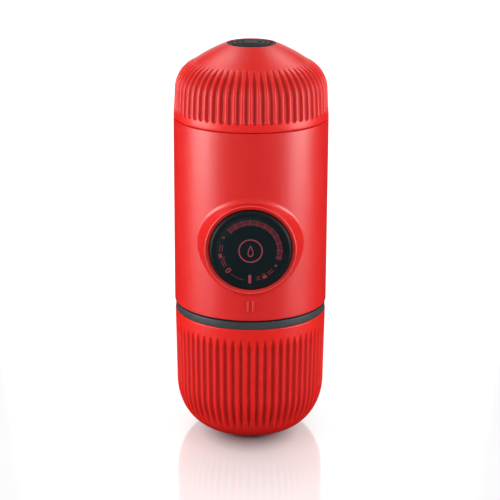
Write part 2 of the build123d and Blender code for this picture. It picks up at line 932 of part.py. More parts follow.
# Filter basket, stored with its open side down over the shower screen
with BuildPart() as filter_basket:
    basket_top = screen_top + basket_height
    turn(
        (
            (basket_radius - basket_wall, screen_top),
            (basket_radius + basket_rim, screen_top),
            (basket_radius + basket_rim, screen_top + basket_wall),
            (basket_radius, screen_top + basket_wall),
            (basket_radius, basket_top),
            (0, basket_top),
            (0, basket_top - basket_wall),
            (basket_radius - basket_wall, basket_top - basket_wall),
        )
    )
    with BuildSketch(Plane.XY.offset(basket_top)):
        for circle_radius, hole_count in basket_hole_circles:
            with PolarLocations(circle_radius, hole_count):
                Circle(basket_hole_radius)
    extrude(amount=-basket_wall, mode=Mode.SUBTRACT)

# Scoop, stored inside the basket
with BuildPart() as scoop:
    with BuildSketch(Plane.XY.offset(screen_top)):
        Circle(scoop_radius)
    extrude(amount=scoop_height)
    with BuildSketch(Plane.XY.offset(screen_top)):
        Circle(scoop_radius - scoop_wall)
    extrude(amount=scoop_height - scoop_wall, mode=Mode.SUBTRACT)
    fillet(scoop.edges().filter_by(GeomType.CIRCLE).group_by(Axis.Z)[-1], scoop_wall)

with BuildPart() as head_gasket:
    turn(
        ring_outline(
            neck_bore + slip,
            neck_radius - slip,
            neck_top + face_gap,
            neck_top + face_gap + gasket_thickness,
        )
    )

# Outlet head: screws over the brewing neck
with BuildPart() as outlet_head:
    funnel_radius = neck_bore
    turn(
        (
            (head_bore, head_bottom),
            (head_grip_radius, head_bottom),
            (head_grip_radius, head_bottom + head_side_height),
            (head_grip_radius - head_corner, head_bottom + head_side_height + head_corner),
            (spout_radius + spout_land, head_dome_top),
            (spout_stem + slip, head_dome_top),
            (spout_stem + slip, head_dome_top - spout_plug),
            (funnel_radius, head_ceiling + funnel_wall_height),
            (funnel_radius, head_ceiling),
            (head_bore, head_ceiling),
        )
    )
    with BuildSketch(Plane.XY.offset(head_bottom)):
        with PolarLocations(head_grip_radius + scallop_radius - scallop_depth, head_scallops):
            Circle(scallop_radius)
    extrude(amount=head_side_height - scallop_run_out, mode=Mode.SUBTRACT)
    add(
        thread_coil(
            head_bore,
            head_thread_height,
            root=head_thread_root + 2 * free_gap,
            crest=head_thread_crest + 2 * free_gap,
            pitch=head_pitch,
            low=head_bottom - head_pitch,
            high=head_thread_high + free_gap,
            bite=free_gap,
            angle=head_thread_angle,
            foot=head_thread_low,
        ),
        mode=Mode.SUBTRACT,
    )

with BuildPart() as spout:
    turn(
        (
            (spout_bore, head_dome_top - spout_plug),
            (spout_stem, head_dome_top - spout_plug),
            (spout_stem, head_dome_top),
            (spout_radius, head_dome_top),
            (spout_radius - spout_draft, spout_top),
            (spout_bore + spout_flare, spout_top),
            (spout_bore, spout_top - spout_flare),
        )
    )

# Cup, stored upside down over the outlet head
with BuildPart() as cup_shell:
    shoulder_centre = cup_waist_radius - cup_shoulder_radius
    slope_turn = 90 - cup_slope
    inner_shoulder_radius = cup_shoulder_radius - cup_dome_wall
    with BuildSketch(Plane.XZ):
        with BuildLine():
            Line((body_radius, cup_bottom), (cup_waist_radius, cup_shoulder_bottom))
            outer_shoulder = CenterArc(
                (shoulder_centre, cup_shoulder_bottom), cup_shoulder_radius, 0, slope_turn
            )
            Polyline(
                outer_shoulder @ 1,
                (foot_pad_radius + cup_top_land, cup_top),
                (foot_pad_radius + slip, cup_top),
                (foot_pad_radius + slip, cup_top - foot_pad_depth),
                (0, cup_top - foot_pad_depth),
                (0, cup_ceiling),
            )
            inner_shoulder = CenterArc(
                (shoulder_centre, cup_shoulder_bottom), inner_shoulder_radius, 0, slope_turn
            )
            ceiling_run = (cup_ceiling - (inner_shoulder @ 1).Y) / cup_slope_rise
            Polyline(
                (0, cup_ceiling),
                ((inner_shoulder @ 1).X - ceiling_run, cup_ceiling),
                inner_shoulder @ 1,
            )
            Polyline(
                inner_shoulder @ 0,
                (cup_bore, cup_shoulder_bottom - 1),
                (cup_bore, cup_bottom),
                (body_radius, cup_bottom),
            )
        make_face()
    revolve(axis=Axis.Z)
    with BuildLine(mode=Mode.PRIVATE) as cup_groove:
        groove_arc = CenterArc(
            (shoulder_centre, cup_shoulder_bottom), cup_shoulder_radius - groove_depth, 0, slope_turn
        )
        groove_run = (groove_arc @ 1).X - cup_groove_inner_radius
        groove_end = (cup_groove_inner_radius, (groove_arc @ 1).Y + groove_run * cup_slope_rise)
        Polyline(
            groove_arc @ 1,
            groove_end,
            (groove_end[0], groove_end[1] + 3 * groove_depth),
            (body_radius + groove_depth, cup_top),
            (body_radius + groove_depth, cup_bottom + groove_margin - 2 * groove_depth),
            (body_radius - groove_depth, cup_bottom + groove_margin),
            groove_arc @ 0,
        )
    add(groove_cutters(cup_groove.line, groove_width), mode=Mode.SUBTRACT)

# Foot pad that the cup stands on in use
with BuildPart() as cup_foot:
    pad_low = cup_top - foot_pad_depth
    turn(
        (
            (0, pad_low),
            (foot_pad_radius, pad_low),
            (foot_pad_radius, maker_height - edge_break),
            (foot_pad_radius - edge_break, maker_height),
            (0, maker_height),
        )
    )

pieces = {
    "tank_shell": tank_shell,
    "tank_liner": tank_liner,
    "tank_gasket": tank_gasket,
    "lower_deck": lower_deck,
    "collar_ring": collar_ring,
    "main_shell": main_shell,
    "pump_body": pump_body,
    "gland_cap": gland_cap,
    "piston_rod": piston_rod,
    "piston_head": piston_head,
    "piston_seal": piston_seal,
    "rod_screw": rod_screw,
    "return_spring": return_spring,
    "piston_knob": piston_knob,
    "knob_dial": knob_dial,
    "lock_ring": lock_ring,
    "inlet_valve": inlet_valve,
    "inlet_strainer": inlet_strainer,
    "vent_valve": vent_valve,
    "outlet_ball": outlet_ball,
    "outlet_spring": outlet_spring,
    "riser_tube": riser_tube,
    "upper_deck": upper_deck,
    "tie_screws": tie_screws,
    "cup_grip_ring": cup_grip_ring,
    "shower_screen": shower_screen,
    "shower_screw": shower_screw,
    "filter_basket": filter_basket,
    "scoop": scoop,
    "head_gasket": head_gasket,
    "outlet_head": outlet_head,
    "spout": spout,
    "cup_shell": cup_shell,
    "cup_foot": cup_foot,
}

os.makedirs("parts", exist_ok=True)
for name, piece in pieces.items():
    piece.part.label = name
    export_step(piece.part, f"parts/{name}.step")
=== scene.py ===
"""Looks of a handheld manual espresso maker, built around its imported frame.

Lengths are in metres in the row frame: +Z is up, the pump knob faces -Y, and the origin is the
middle of the tank's flat foot. Angles round the maker count in degrees from its front, -Y,
towards +X.
"""

from __future__ import annotations

import json
import logging
import math
from dataclasses import dataclass
from enum import Enum
from functools import cache
from typing import Any, Callable, Mapping, Sequence

import bpy
import numpy as np
from mathutils import Matrix, Vector

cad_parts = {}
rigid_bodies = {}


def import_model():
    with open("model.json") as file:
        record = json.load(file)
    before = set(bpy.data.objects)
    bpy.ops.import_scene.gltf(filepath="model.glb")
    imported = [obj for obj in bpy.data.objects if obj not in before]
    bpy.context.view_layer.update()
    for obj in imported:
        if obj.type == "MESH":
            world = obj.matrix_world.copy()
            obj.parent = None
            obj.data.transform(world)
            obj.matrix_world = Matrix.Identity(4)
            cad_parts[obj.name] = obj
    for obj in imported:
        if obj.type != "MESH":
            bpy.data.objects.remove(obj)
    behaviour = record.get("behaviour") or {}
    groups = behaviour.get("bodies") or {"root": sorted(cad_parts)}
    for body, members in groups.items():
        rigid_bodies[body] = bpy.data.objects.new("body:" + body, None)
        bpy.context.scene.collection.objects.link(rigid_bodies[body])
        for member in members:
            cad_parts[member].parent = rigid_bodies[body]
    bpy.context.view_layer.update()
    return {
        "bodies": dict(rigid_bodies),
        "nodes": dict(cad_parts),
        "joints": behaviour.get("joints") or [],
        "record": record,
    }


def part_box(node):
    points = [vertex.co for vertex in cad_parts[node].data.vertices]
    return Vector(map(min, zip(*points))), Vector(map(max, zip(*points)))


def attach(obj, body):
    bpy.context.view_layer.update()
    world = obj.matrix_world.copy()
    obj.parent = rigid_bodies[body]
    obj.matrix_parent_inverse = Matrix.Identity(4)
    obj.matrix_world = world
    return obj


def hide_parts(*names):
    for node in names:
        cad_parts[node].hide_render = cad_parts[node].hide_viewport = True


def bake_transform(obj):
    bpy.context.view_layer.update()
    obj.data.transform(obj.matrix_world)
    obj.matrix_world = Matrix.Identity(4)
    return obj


LOG = logging.getLogger("maker")
MM = 0.001
NOUGHT = 1e-9  # a length that counts as none
SAME_SPOT = 1e-7  # points that are nearer than this are one
SHORTEST_RUN = 1e-12  # keeps a direction's length from being nought
SHARP_ANGLE = math.radians(38)

Colour = tuple[float, float, float]
Point = tuple[float, float]


# ---------------------------------------------------------------- shader graphs


@dataclass(frozen=True)
class Signal:
    """An output socket of a shader graph that takes part in arithmetic."""

    graph: Graph
    socket: bpy.types.NodeSocket

    def __add__(self, other: Signal | float) -> Signal:
        """Adds a signal or a number."""
        return self.graph.math("ADD", self, other)

    __radd__ = __add__

    def __mul__(self, other: Signal | float) -> Signal:
        """Multiplies by a signal or a number."""
        return self.graph.math("MULTIPLY", self, other)

    __rmul__ = __mul__

    def __sub__(self, other: Signal | float) -> Signal:
        """Subtracts a signal or a number."""
        return self.graph.math("SUBTRACT", self, other)

    def __rsub__(self, other: Signal | float) -> Signal:
        """Is subtracted from a number."""
        return self.graph.math("SUBTRACT", other, self)

    def __pow__(self, other: float) -> Signal:
        """Raises to a power."""
        return self.graph.math("POWER", self, other)


@dataclass(frozen=True)
class Noise:
    """Smooth noise from 0 to 1.

    Its size is the width of its blotches in metres, and its layers are the finer blotches in
    them, which are stronger where it is rougher. A band gives the levels of it that come out as
    0 and as 1.
    """

    size: float
    layers: float = 2.0
    rough: float = 0.5
    band: Point | None = None


class Graph:
    """The node tree of one material or world, with short ways to add to it."""

    def __init__(self, tree: bpy.types.NodeTree) -> None:
        """Takes a node tree and empties it."""
        self.tree = tree
        tree.nodes.clear()

    def node(
        self,
        kind: str,
        settings: Mapping[str, Any] | None = None,
        values: Mapping[str | int, Any] | None = None,
    ) -> bpy.types.Node:
        """Adds a node.

        Args:
            kind: The node's type without its "ShaderNode" prefix.
            settings: The node's own options, set first. "stops" fills a colour ramp, which has
                two stops when new, with (position, grey) stops.
            values: What each input socket holds or is linked to, by socket name or number.

        Returns:
            The new node.
        """
        made = self.tree.nodes.new("ShaderNode" + kind)
        for name, value in (settings or {}).items():
            if name != "stops":
                setattr(made, name, value)
                continue
            held = made.color_ramp.elements
            for i, (position, grey) in enumerate(value):
                stop = held[i] if i < 2 else held.new(position)
                stop.position, stop.color = position, (grey, grey, grey, 1)
        for name, value in (values or {}).items():
            if isinstance(value, Signal):
                self.tree.links.new(value.socket, made.inputs[name])
            else:
                made.inputs[name].default_value = value
        return made

    def get(self, kind: str, *given: Any, output: str | int = 0) -> Signal:
        """Adds a node as the method above does, and gives one of its outputs."""
        return Signal(self, self.node(kind, *given).outputs[output])

    def math(self, operation: str, *operands: Signal | float) -> Signal:
        """A Math node on one to three signals or numbers."""
        return self.get("Math", {"operation": operation}, dict(enumerate(operands)))

    def mix(self, share: Signal | float, first: Colour | Signal, second: Colour) -> Signal:
        """A mix of two colours, with the second one's share from 0 to 1."""
        first, second = ((*c, 1) if isinstance(c, tuple) else c for c in (first, second))
        return self.get("Mix", {"data_type": "RGBA"}, {0: share, 6: first, 7: second}, output=2)

    def place(self) -> Signal:
        """The point on the piece, in metres."""
        return self.get("TexCoord", output="Object")

    def axes(self) -> tuple[Signal, ...]:
        """The point's x, y and z."""
        parts = self.node("SeparateXYZ", None, {0: self.place()}).outputs
        return tuple(Signal(self, part) for part in parts)

    def stretched(self, scale: Sequence[float]) -> Signal:
        """The point on the piece with each axis scaled by its own factor."""
        values = {0: self.place(), 1: tuple(scale)}
        return self.get("VectorMath", {"operation": "MULTIPLY"}, values)

    def steps(self, value: Signal, *stops: Point) -> Signal:
        """Reads a value through a ramp of (position, grey) stops."""
        return self.get("ValToRGB", {"stops": stops}, {0: value})

    def within(self, value: Signal, band: Point) -> Signal:
        """How far a value has gone from a band's first level, 0, to its second one, 1."""
        return self.steps(value, *sorted(((band[0], 0.0), (band[1], 1.0))))

    def noise(self, kind: Noise, place: Signal | None = None) -> Signal:
        """Adds a noise.

        Args:
            kind: The noise.
            place: Where it is read, if not at the point on the piece.

        Returns:
            Its level.
        """
        values = {"Scale": 1 / kind.size, "Detail": kind.layers, "Roughness": kind.rough}
        level = self.get("TexNoise", None, {"Vector": place or self.place(), **values})
        return self.within(level, kind.band) if kind.band else level

    def bump(self, height: Signal, depth: float, soft_edge: float = 0.0) -> Signal:
        """A normal that follows a height.

        Args:
            height: The height, from 0 to 1.
            depth: What a height of 1 stands for, in metres.
            soft_edge: How far the piece's sharp edges look rounded, in metres.

        Returns:
            The normal.
        """
        values = {"Height": height, "Distance": depth, "Strength": 1.0}
        if soft_edge > 0:
            values["Normal"] = self.get("Bevel", {"samples": 6}, {"Radius": soft_edge})
        return self.get("Bump", None, values)

    def surface(self, **inputs: Any) -> Signal:
        """A Principled surface, from its sockets by name with _ for a space."""
        values = {name.replace("_", " "): value for name, value in inputs.items()}
        return self.get("BsdfPrincipled", None, values)

    def finish(self, shader: Signal, kind: str = "OutputMaterial") -> None:
        """Makes a shader the graph's result."""
        self.node(kind, None, {"Surface": shader})


def new_material(name: str) -> tuple[bpy.types.Material, Graph]:
    """Starts a node material.

    Args:
        name: The material's name.

    Returns:
        The material, and the graph to build it in.
    """
    made = bpy.data.materials.new(name)
    made.use_nodes = True
    return made, Graph(made.node_tree)


# ---------------------------------------------------------------- finishes


@dataclass(frozen=True)
class Finish:
    """How a material looks, with its main colour and the one that it varies towards."""

    name: str
    colour: Colour
    varied: Colour

    def shade(self, graph: Graph) -> Signal:
        """Works out the surface, which each kind of finish does in its own way.

        Args:
            graph: The material's graph.

        Returns:
            The shader.
        """
        raise NotImplementedError

    @cache
    def material(self) -> bpy.types.Material:
        """Makes the material, once.

        Returns:
            The material.
        """
        made, graph = new_material(self.name)
        graph.finish(self.shade(graph))
        return made

    def cover(self, piece: bpy.types.Object) -> bpy.types.Object:
        """Gives a piece this finish all over.

        Args:
            piece: The piece.

        Returns:
            The same piece.
        """
        piece.data.materials.clear()
        piece.data.materials.append(self.material())
        return piece


@dataclass(frozen=True)
class SoftTouch(Finish):
    """A soft-touch coat on moulded plastic: satin, with a fine grain and faint handling marks."""

    roughness: float = 0.42
    specular: float = 0.4
    soft_edge: float = 0.0
    # Darker colour painted into the grooves as shade, by how deep they are cut.
    groove_shade: Colour | None = None
    grain: Noise = Noise(0.22 * MM, rough=0.6)
    grain_depth: float = 0.006 * MM
    grain_dulling: float = 0.06
    pits: Noise = Noise(0.572 * MM, 1.0, band=(0.42, 0.30))
    pit_depth: float = 0.5
    pit_tone: float = 0.22
    blotches: Noise = Noise(21.0 * MM, 3.0, band=(0.30, 0.70))
    blotch_tone: float = 0.35
    handling: Noise = Noise(6.0 * MM, 4.0, 0.62, (0.52, 0.74))
    handling_dulling: float = 0.05
    groove_shade_band: Point = (0.10, 0.85)
    hollow_dulling: float = 0.12

    def shade(self, graph: Graph) -> Signal:
        """Varies the colour in blotches and pits, and darkens it in the grooves as painted shade.

        Args:
            graph: The material's graph.

        Returns:
            The shader.
        """
        fine, pits = graph.noise(self.grain), graph.noise(self.pits)
        tone = graph.noise(self.blotches) * self.blotch_tone + pits * self.pit_tone
        colour = graph.mix(tone, self.colour, self.varied)
        handled = graph.noise(self.handling) * self.handling_dulling
        roughness = self.roughness + handled + (fine - 0.5) * self.grain_dulling
        if self.groove_shade:
            # Painted shade: the colour darkens with the groove's depth.
            cut = graph.get("Attribute", {"attribute_name": "cut"}, output="Fac")
            colour = graph.mix(graph.within(cut, self.groove_shade_band), colour, self.groove_shade)
            roughness = roughness + cut * self.hollow_dulling
        height = fine - pits * self.pit_depth + self.pit_depth
        return graph.surface(
            Base_Color=colour,
            Roughness=roughness,
            Specular_IOR_Level=self.specular,
            Normal=graph.bump(height, self.grain_depth, self.soft_edge),
        )


@dataclass(frozen=True)
class Moulded(Finish):
    """Plain engineering plastic straight from the mould: spark-eroded texture and flow lines."""

    roughness: float = 0.5
    specular: float = 0.35
    soft_edge: float = 0.2 * MM
    texture: Noise = Noise(0.3 * MM, 3.0, 0.7)
    texture_depth: float = 0.01 * MM
    texture_dulling: float = 0.14
    flow: Noise = Noise(12.0 * MM, 3.0, band=(0.35, 0.68))
    flow_draw: tuple[float, float, float] = (1.0, 1.0, 0.25)
    flow_tone: float = 0.5
    dust: Noise = Noise(1.1 * MM, band=(0.60, 0.76))
    dust_tone: float = 0.2

    def shade(self, graph: Graph) -> Signal:
        """Draws flow lines up the piece, with specks of dust and a fine texture.

        Args:
            graph: The material's graph.

        Returns:
            The shader.
        """
        flow = graph.noise(self.flow, graph.stretched(self.flow_draw))
        tone = flow * self.flow_tone + graph.noise(self.dust) * self.dust_tone
        spark = graph.noise(self.texture)
        return graph.surface(
            Base_Color=graph.mix(tone, self.colour, self.varied),
            Roughness=self.roughness + (spark - 0.5) * self.texture_dulling,
            Specular_IOR_Level=self.specular,
            Normal=graph.bump(spark, self.texture_depth, self.soft_edge),
        )


@dataclass(frozen=True)
class DialLacquer(Finish):
    """Near-black lacquer with a faint blue-green cast, lathe traces and a painted rim highlight.
    """

    centre_height: float = 82.7 * MM
    radius: float = 13.2 * MM
    roughness: float = 0.34
    specular: float = 0.22
    coat: float = 0.12
    coat_roughness: float = 0.22
    highlight_slope: float = 0.36
    highlight_band: Point = (0.42, 0.95)
    rim: tuple[Point, ...] = ((0.70, 0.15), (1.0, 1.0))
    rim_highlight_tone: float = 0.85
    mist: Noise = Noise(4.0 * MM, 3.0)
    mist_tone: float = 0.20
    mist_dulling: float = 0.06
    rings: Noise = Noise(0.03)
    ring_dulling: float = 0.10
    fleck: Noise = Noise(0.18 * MM, 1.0)
    fleck_depth: float = 0.003 * MM

    def shade(self, graph: Graph) -> Signal:
        """Turns fine rings about the dial's middle, and paints a highlight on its upper left rim.

        Args:
            graph: The material's graph.

        Returns:
            The shader.
        """
        across, _, up = graph.axes()
        rise = up - self.centre_height
        reach = (across**2 + rise**2) ** 0.5 * (1 / self.radius)
        rings = graph.noise(self.rings, graph.get("CombineXYZ", None, {0: reach}))
        mist = graph.noise(self.mist)
        # Painted highlight: the rim is lighter towards the upper left, where the light falls.
        slope = (rise - across) * (self.highlight_slope / self.radius)
        painted_rim_highlight = graph.steps(reach, *self.rim) * graph.within(slope + 0.5, self.highlight_band)
        tone = painted_rim_highlight * self.rim_highlight_tone + mist * self.mist_tone
        return graph.surface(
            Base_Color=graph.mix(tone, self.colour, self.varied),
            Roughness=self.roughness + rings * self.ring_dulling + mist * self.mist_dulling,
            Specular_IOR_Level=self.specular,
            Coat_Weight=self.coat,
            Coat_Roughness=self.coat_roughness,
            Normal=graph.bump(graph.noise(self.fleck), self.fleck_depth),
        )


@dataclass(frozen=True)
class PrintedInk(Finish):
    """Pad-printed ink: slightly raised, with a thin and uneven cover."""

    roughness: float = 0.46
    specular: float = 0.3
    patches: Noise = Noise(0.7 * MM, 3.0, 0.65)
    patch_band: Point = (0.38, 0.72)
    patch_tone: float = 0.6
    patch_dulling: float = 0.12
    speck: Noise = Noise(0.16 * MM, 1.0)
    speck_tone: float = 0.2
    speck_depth: float = 0.004 * MM

    def shade(self, graph: Graph) -> Signal:
        """Thins the ink in patches and specks.

        Args:
            graph: The material's graph.

        Returns:
            The shader.
        """
        patches, speck = graph.noise(self.patches), graph.noise(self.speck)
        thin = graph.within(patches, self.patch_band)
        tone = thin * self.patch_tone + speck * self.speck_tone
        return graph.surface(
            Base_Color=graph.mix(tone, self.colour, self.varied),
            Roughness=self.roughness + patches * self.patch_dulling,
            Specular_IOR_Level=self.specular,
            Normal=graph.bump(speck, self.speck_depth),
        )


@dataclass(frozen=True)
class SoftRubber(Finish):
    """Moulded rubber or silicone with bloom and a fine skin."""

    roughness: float = 0.62
    specular: float = 0.35
    bloom: Noise = Noise(5.0 * MM, 4.0, 0.6, (0.42, 0.72))
    bloom_tone: float = 0.45
    skin: Noise = Noise(0.28 * MM, 3.0, 0.6)
    skin_tone: float = 0.15
    skin_depth: float = 0.012 * MM
    dulling: float = 0.08

    def shade(self, graph: Graph) -> Signal:
        """Clouds the rubber with bloom over a fine skin.

        Args:
            graph: The material's graph.

        Returns:
            The shader.
        """
        bloom, skin = graph.noise(self.bloom), graph.noise(self.skin)
        tone = bloom * self.bloom_tone + skin * self.skin_tone
        return graph.surface(
            Base_Color=graph.mix(tone, self.colour, self.varied),
            Roughness=self.roughness + (bloom + skin - 1) * self.dulling,
            Specular_IOR_Level=self.specular,
            Normal=graph.bump(skin, self.skin_depth),
        )


class Brushing(Enum):
    """Which way the fine lines on a piece of steel run."""

    ROUND_Z = (1.0, 1.0, 40.0)
    ALONG_Y = (40.0, 1.0, 40.0)
    FLAT_X = (1.0, 40.0, 1.0)


@dataclass(frozen=True)
class Steel(Finish):
    """Stainless steel with fine machining or rolling lines and a few darker water marks."""

    lines: Brushing
    roughness: float = 0.27
    line: Noise = Noise(6.0 * MM, 3.0, 0.6)
    line_tone: float = 0.2
    line_depth: float = 0.003 * MM
    line_dulling: float = 0.14
    stain: Noise = Noise(4.0 * MM, 4.0, 0.62, (0.50, 0.74))
    stain_tone: float = 0.5
    stain_dulling: float = 0.08

    def shade(self, graph: Graph) -> Signal:
        """Draws the lines along the piece, and stains it in a few places.

        Args:
            graph: The material's graph.

        Returns:
            The shader.
        """
        lines = graph.noise(self.line, graph.stretched(self.lines.value))
        stain = graph.noise(self.stain)
        dulling = lines * self.line_dulling + stain * self.stain_dulling
        tone = stain * self.stain_tone + lines * self.line_tone
        return graph.surface(
            Base_Color=graph.mix(tone, self.colour, self.varied),
            Metallic=1.0,
            Roughness=self.roughness + dulling,
            Normal=graph.bump(lines, self.line_depth),
        )


RED_SHELL = SoftTouch(
    "red_soft_touch",
    (0.74, 0.004, 0.002),
    (0.68, 0.003, 0.002),
    roughness=0.37,
    specular=0.92,
    soft_edge=0.35 * MM,
)
# A lighter copy of the red shell's plastic: its brighter colour is painted light on the crests,
# and its darker groove colour is painted shade.
RED_RIBS_PAINTED_LIGHT = SoftTouch(
    "red_soft_touch_ribs_painted_light",
    (0.81, 0.010, 0.006),
    (0.75, 0.009, 0.005),
    roughness=0.36,
    specular=0.52,
    groove_shade=(0.52, 0.002, 0.001),
)
# Paler, pinker red that paints a highlight along the knob's lip and on the index bars' faces.
RED_PAINTED_HIGHLIGHT = SoftTouch(
    "red_painted_highlight", (0.86, 0.070, 0.055), (0.80, 0.060, 0.045), roughness=0.30, specular=1.0
)
GREY_COLLAR = Moulded(
    "grey_collar_plastic",
    (0.040, 0.047, 0.052),
    (0.052, 0.059, 0.064),
    roughness=0.46,
    specular=0.4,
)
# Near-black for the band set back above the collar: painted shade of the gap between the collar
# and the body tube.
RECESS_PAINTED_SHADE = Moulded(
    "black_recess_painted_shade", (0.008, 0.008, 0.009), (0.014, 0.014, 0.015), specular=0.15
)
BLACK_KNOB = SoftTouch(
    "black_knob_satin",
    (0.0062, 0.0115, 0.0130),
    (0.0040, 0.0078, 0.0090),
    roughness=0.52,
    specular=0.18,
    soft_edge=0.2 * MM,
)
BLACK_PLASTIC = Moulded("black_moulded", (0.012, 0.012, 0.013), (0.020, 0.020, 0.021))
SCOOP_PLASTIC = Moulded(
    "black_scoop", (0.014, 0.014, 0.015), (0.026, 0.026, 0.027), texture_depth=0.005 * MM
)
LINER_PLASTIC = Moulded(
    "grey_liner", (0.020, 0.020, 0.022), (0.034, 0.034, 0.036), roughness=0.4
)
SEAL_RUBBER = SoftRubber("grey_silicone", (0.10, 0.098, 0.094), (0.17, 0.165, 0.16))
FOOT_RUBBER = SoftRubber(
    "black_foot_rubber",
    (0.0040, 0.0040, 0.0044),
    (0.008, 0.008, 0.009),
    roughness=0.50,
    specular=0.12,
)
STEEL_TONES = ((0.56, 0.56, 0.55), (0.40, 0.39, 0.37))
TURNED_STEEL = Steel("turned_steel", *STEEL_TONES, Brushing.ALONG_Y)
SPRING_STEEL = Steel("spring_steel", *STEEL_TONES, Brushing.FLAT_X, roughness=0.24)
ROLLED_STEEL = Steel("rolled_steel", *STEEL_TONES, Brushing.ROUND_Z, roughness=0.3)
# Its varied colour also makes the painted highlight on the dial's rim.
DIAL_LACQUER = DialLacquer("dial_lacquer", (0.0042, 0.0105, 0.0125), (0.0100, 0.0235, 0.0265))
SCALE_INK = PrintedInk("scale_ink", (0.30, 0.032, 0.052), (0.18, 0.020, 0.034))
SIGN_INK = PrintedInk("sign_ink", (0.36, 0.055, 0.075), (0.24, 0.036, 0.052))


# ---------------------------------------------------------------- meshes


def link_mesh(
    name: str, points: np.ndarray, faces: Sequence[Sequence[int]], smooth: bool = True
) -> bpy.types.Object:
    """Makes a mesh object from points and faces.

    Args:
        name: The piece's name.
        points: The vertices, one row of x, y, z each.
        faces: The corners of each face, counter-clockwise from outside.
        smooth: Whether it is shaded smooth, apart from edges sharper than SHARP_ANGLE.

    Returns:
        The object, linked to the scene.
    """
    mesh = bpy.data.meshes.new(name)
    mesh.from_pydata(points.tolist(), [], faces)
    mesh.validate()
    if smooth:
        mesh.shade_smooth()
        mesh.set_sharp_from_angle(angle=SHARP_ANGLE)
    made = bpy.data.objects.new(name, mesh)
    bpy.context.scene.collection.objects.link(made)
    return made


class Outline:
    """The side outline of a turned piece: radius and height, with the material on its left."""

    def __init__(self, radius: float, height: float) -> None:
        """Starts at a point."""
        self.points: list[Point] = [(radius, height)]
        self.marks: dict[str, int] = {}

    def to(self, radius: float, height: float, steps: int = 1, bow: float = 0.0) -> Outline:
        """Goes straight on, or along a shallow bow.

        Args:
            radius: Where it goes to, from the axis.
            height: Where it goes to, up.
            steps: How many points it takes.
            bow: How far its middle stands out from the straight line.

        Returns:
            This outline.
        """
        start = np.array(self.points[-1])
        run = np.array((radius, height)) - start
        out = np.array((run[1], -run[0])) / max(float(np.hypot(*run)), SHORTEST_RUN)
        for i in range(1, steps + 1):
            t = i / steps
            self.points.append(tuple(start + run * t + out * bow * 4 * t * (1 - t)))
        return self

    def round(
        self, centre: Point, size: Point, first: float, last: float, steps: int
    ) -> Outline:
        """Follows part of an ellipse, and leaves out a first point that is already there.

        Args:
            centre: The ellipse's centre.
            size: Its half width and half height.
            first: The angle it starts at in degrees, with 0 outwards and 90 up.
            last: The angle it ends at.
            steps: How many points it takes.

        Returns:
            This outline.
        """
        for x, y in arc(1.0, first, last, steps):
            spot = (centre[0] + size[0] * x, centre[1] + size[1] * y)
            if math.dist(spot, self.points[-1]) > SAME_SPOT:
                self.points.append(spot)
        return self

    def mark(self, name: str) -> Outline:
        """Remembers the point reached, by name."""
        self.marks[name] = len(self.points) - 1
        return self

    def along(self) -> np.ndarray:
        """How far along the outline each point lies."""
        runs = np.diff(np.array(self.points), axis=0)
        return np.concatenate(([0.0], np.cumsum(np.hypot(*runs.T))))

    def outward(self) -> np.ndarray:
        """Finds the direction out of the material.

        Returns:
            The direction at each point, as a row of unit length.
        """
        run = np.gradient(np.array(self.points), axis=0)
        run /= np.maximum(np.hypot(*run.T), SHORTEST_RUN)[:, None]
        return np.stack((run[:, 1], -run[:, 0]), axis=1)


class TipForm(Enum):
    """How a groove ends: rounded like a spoon, pointed, or running out shallow."""

    ROUND = "round"
    POINTED = "pointed"
    FADING = "fading"


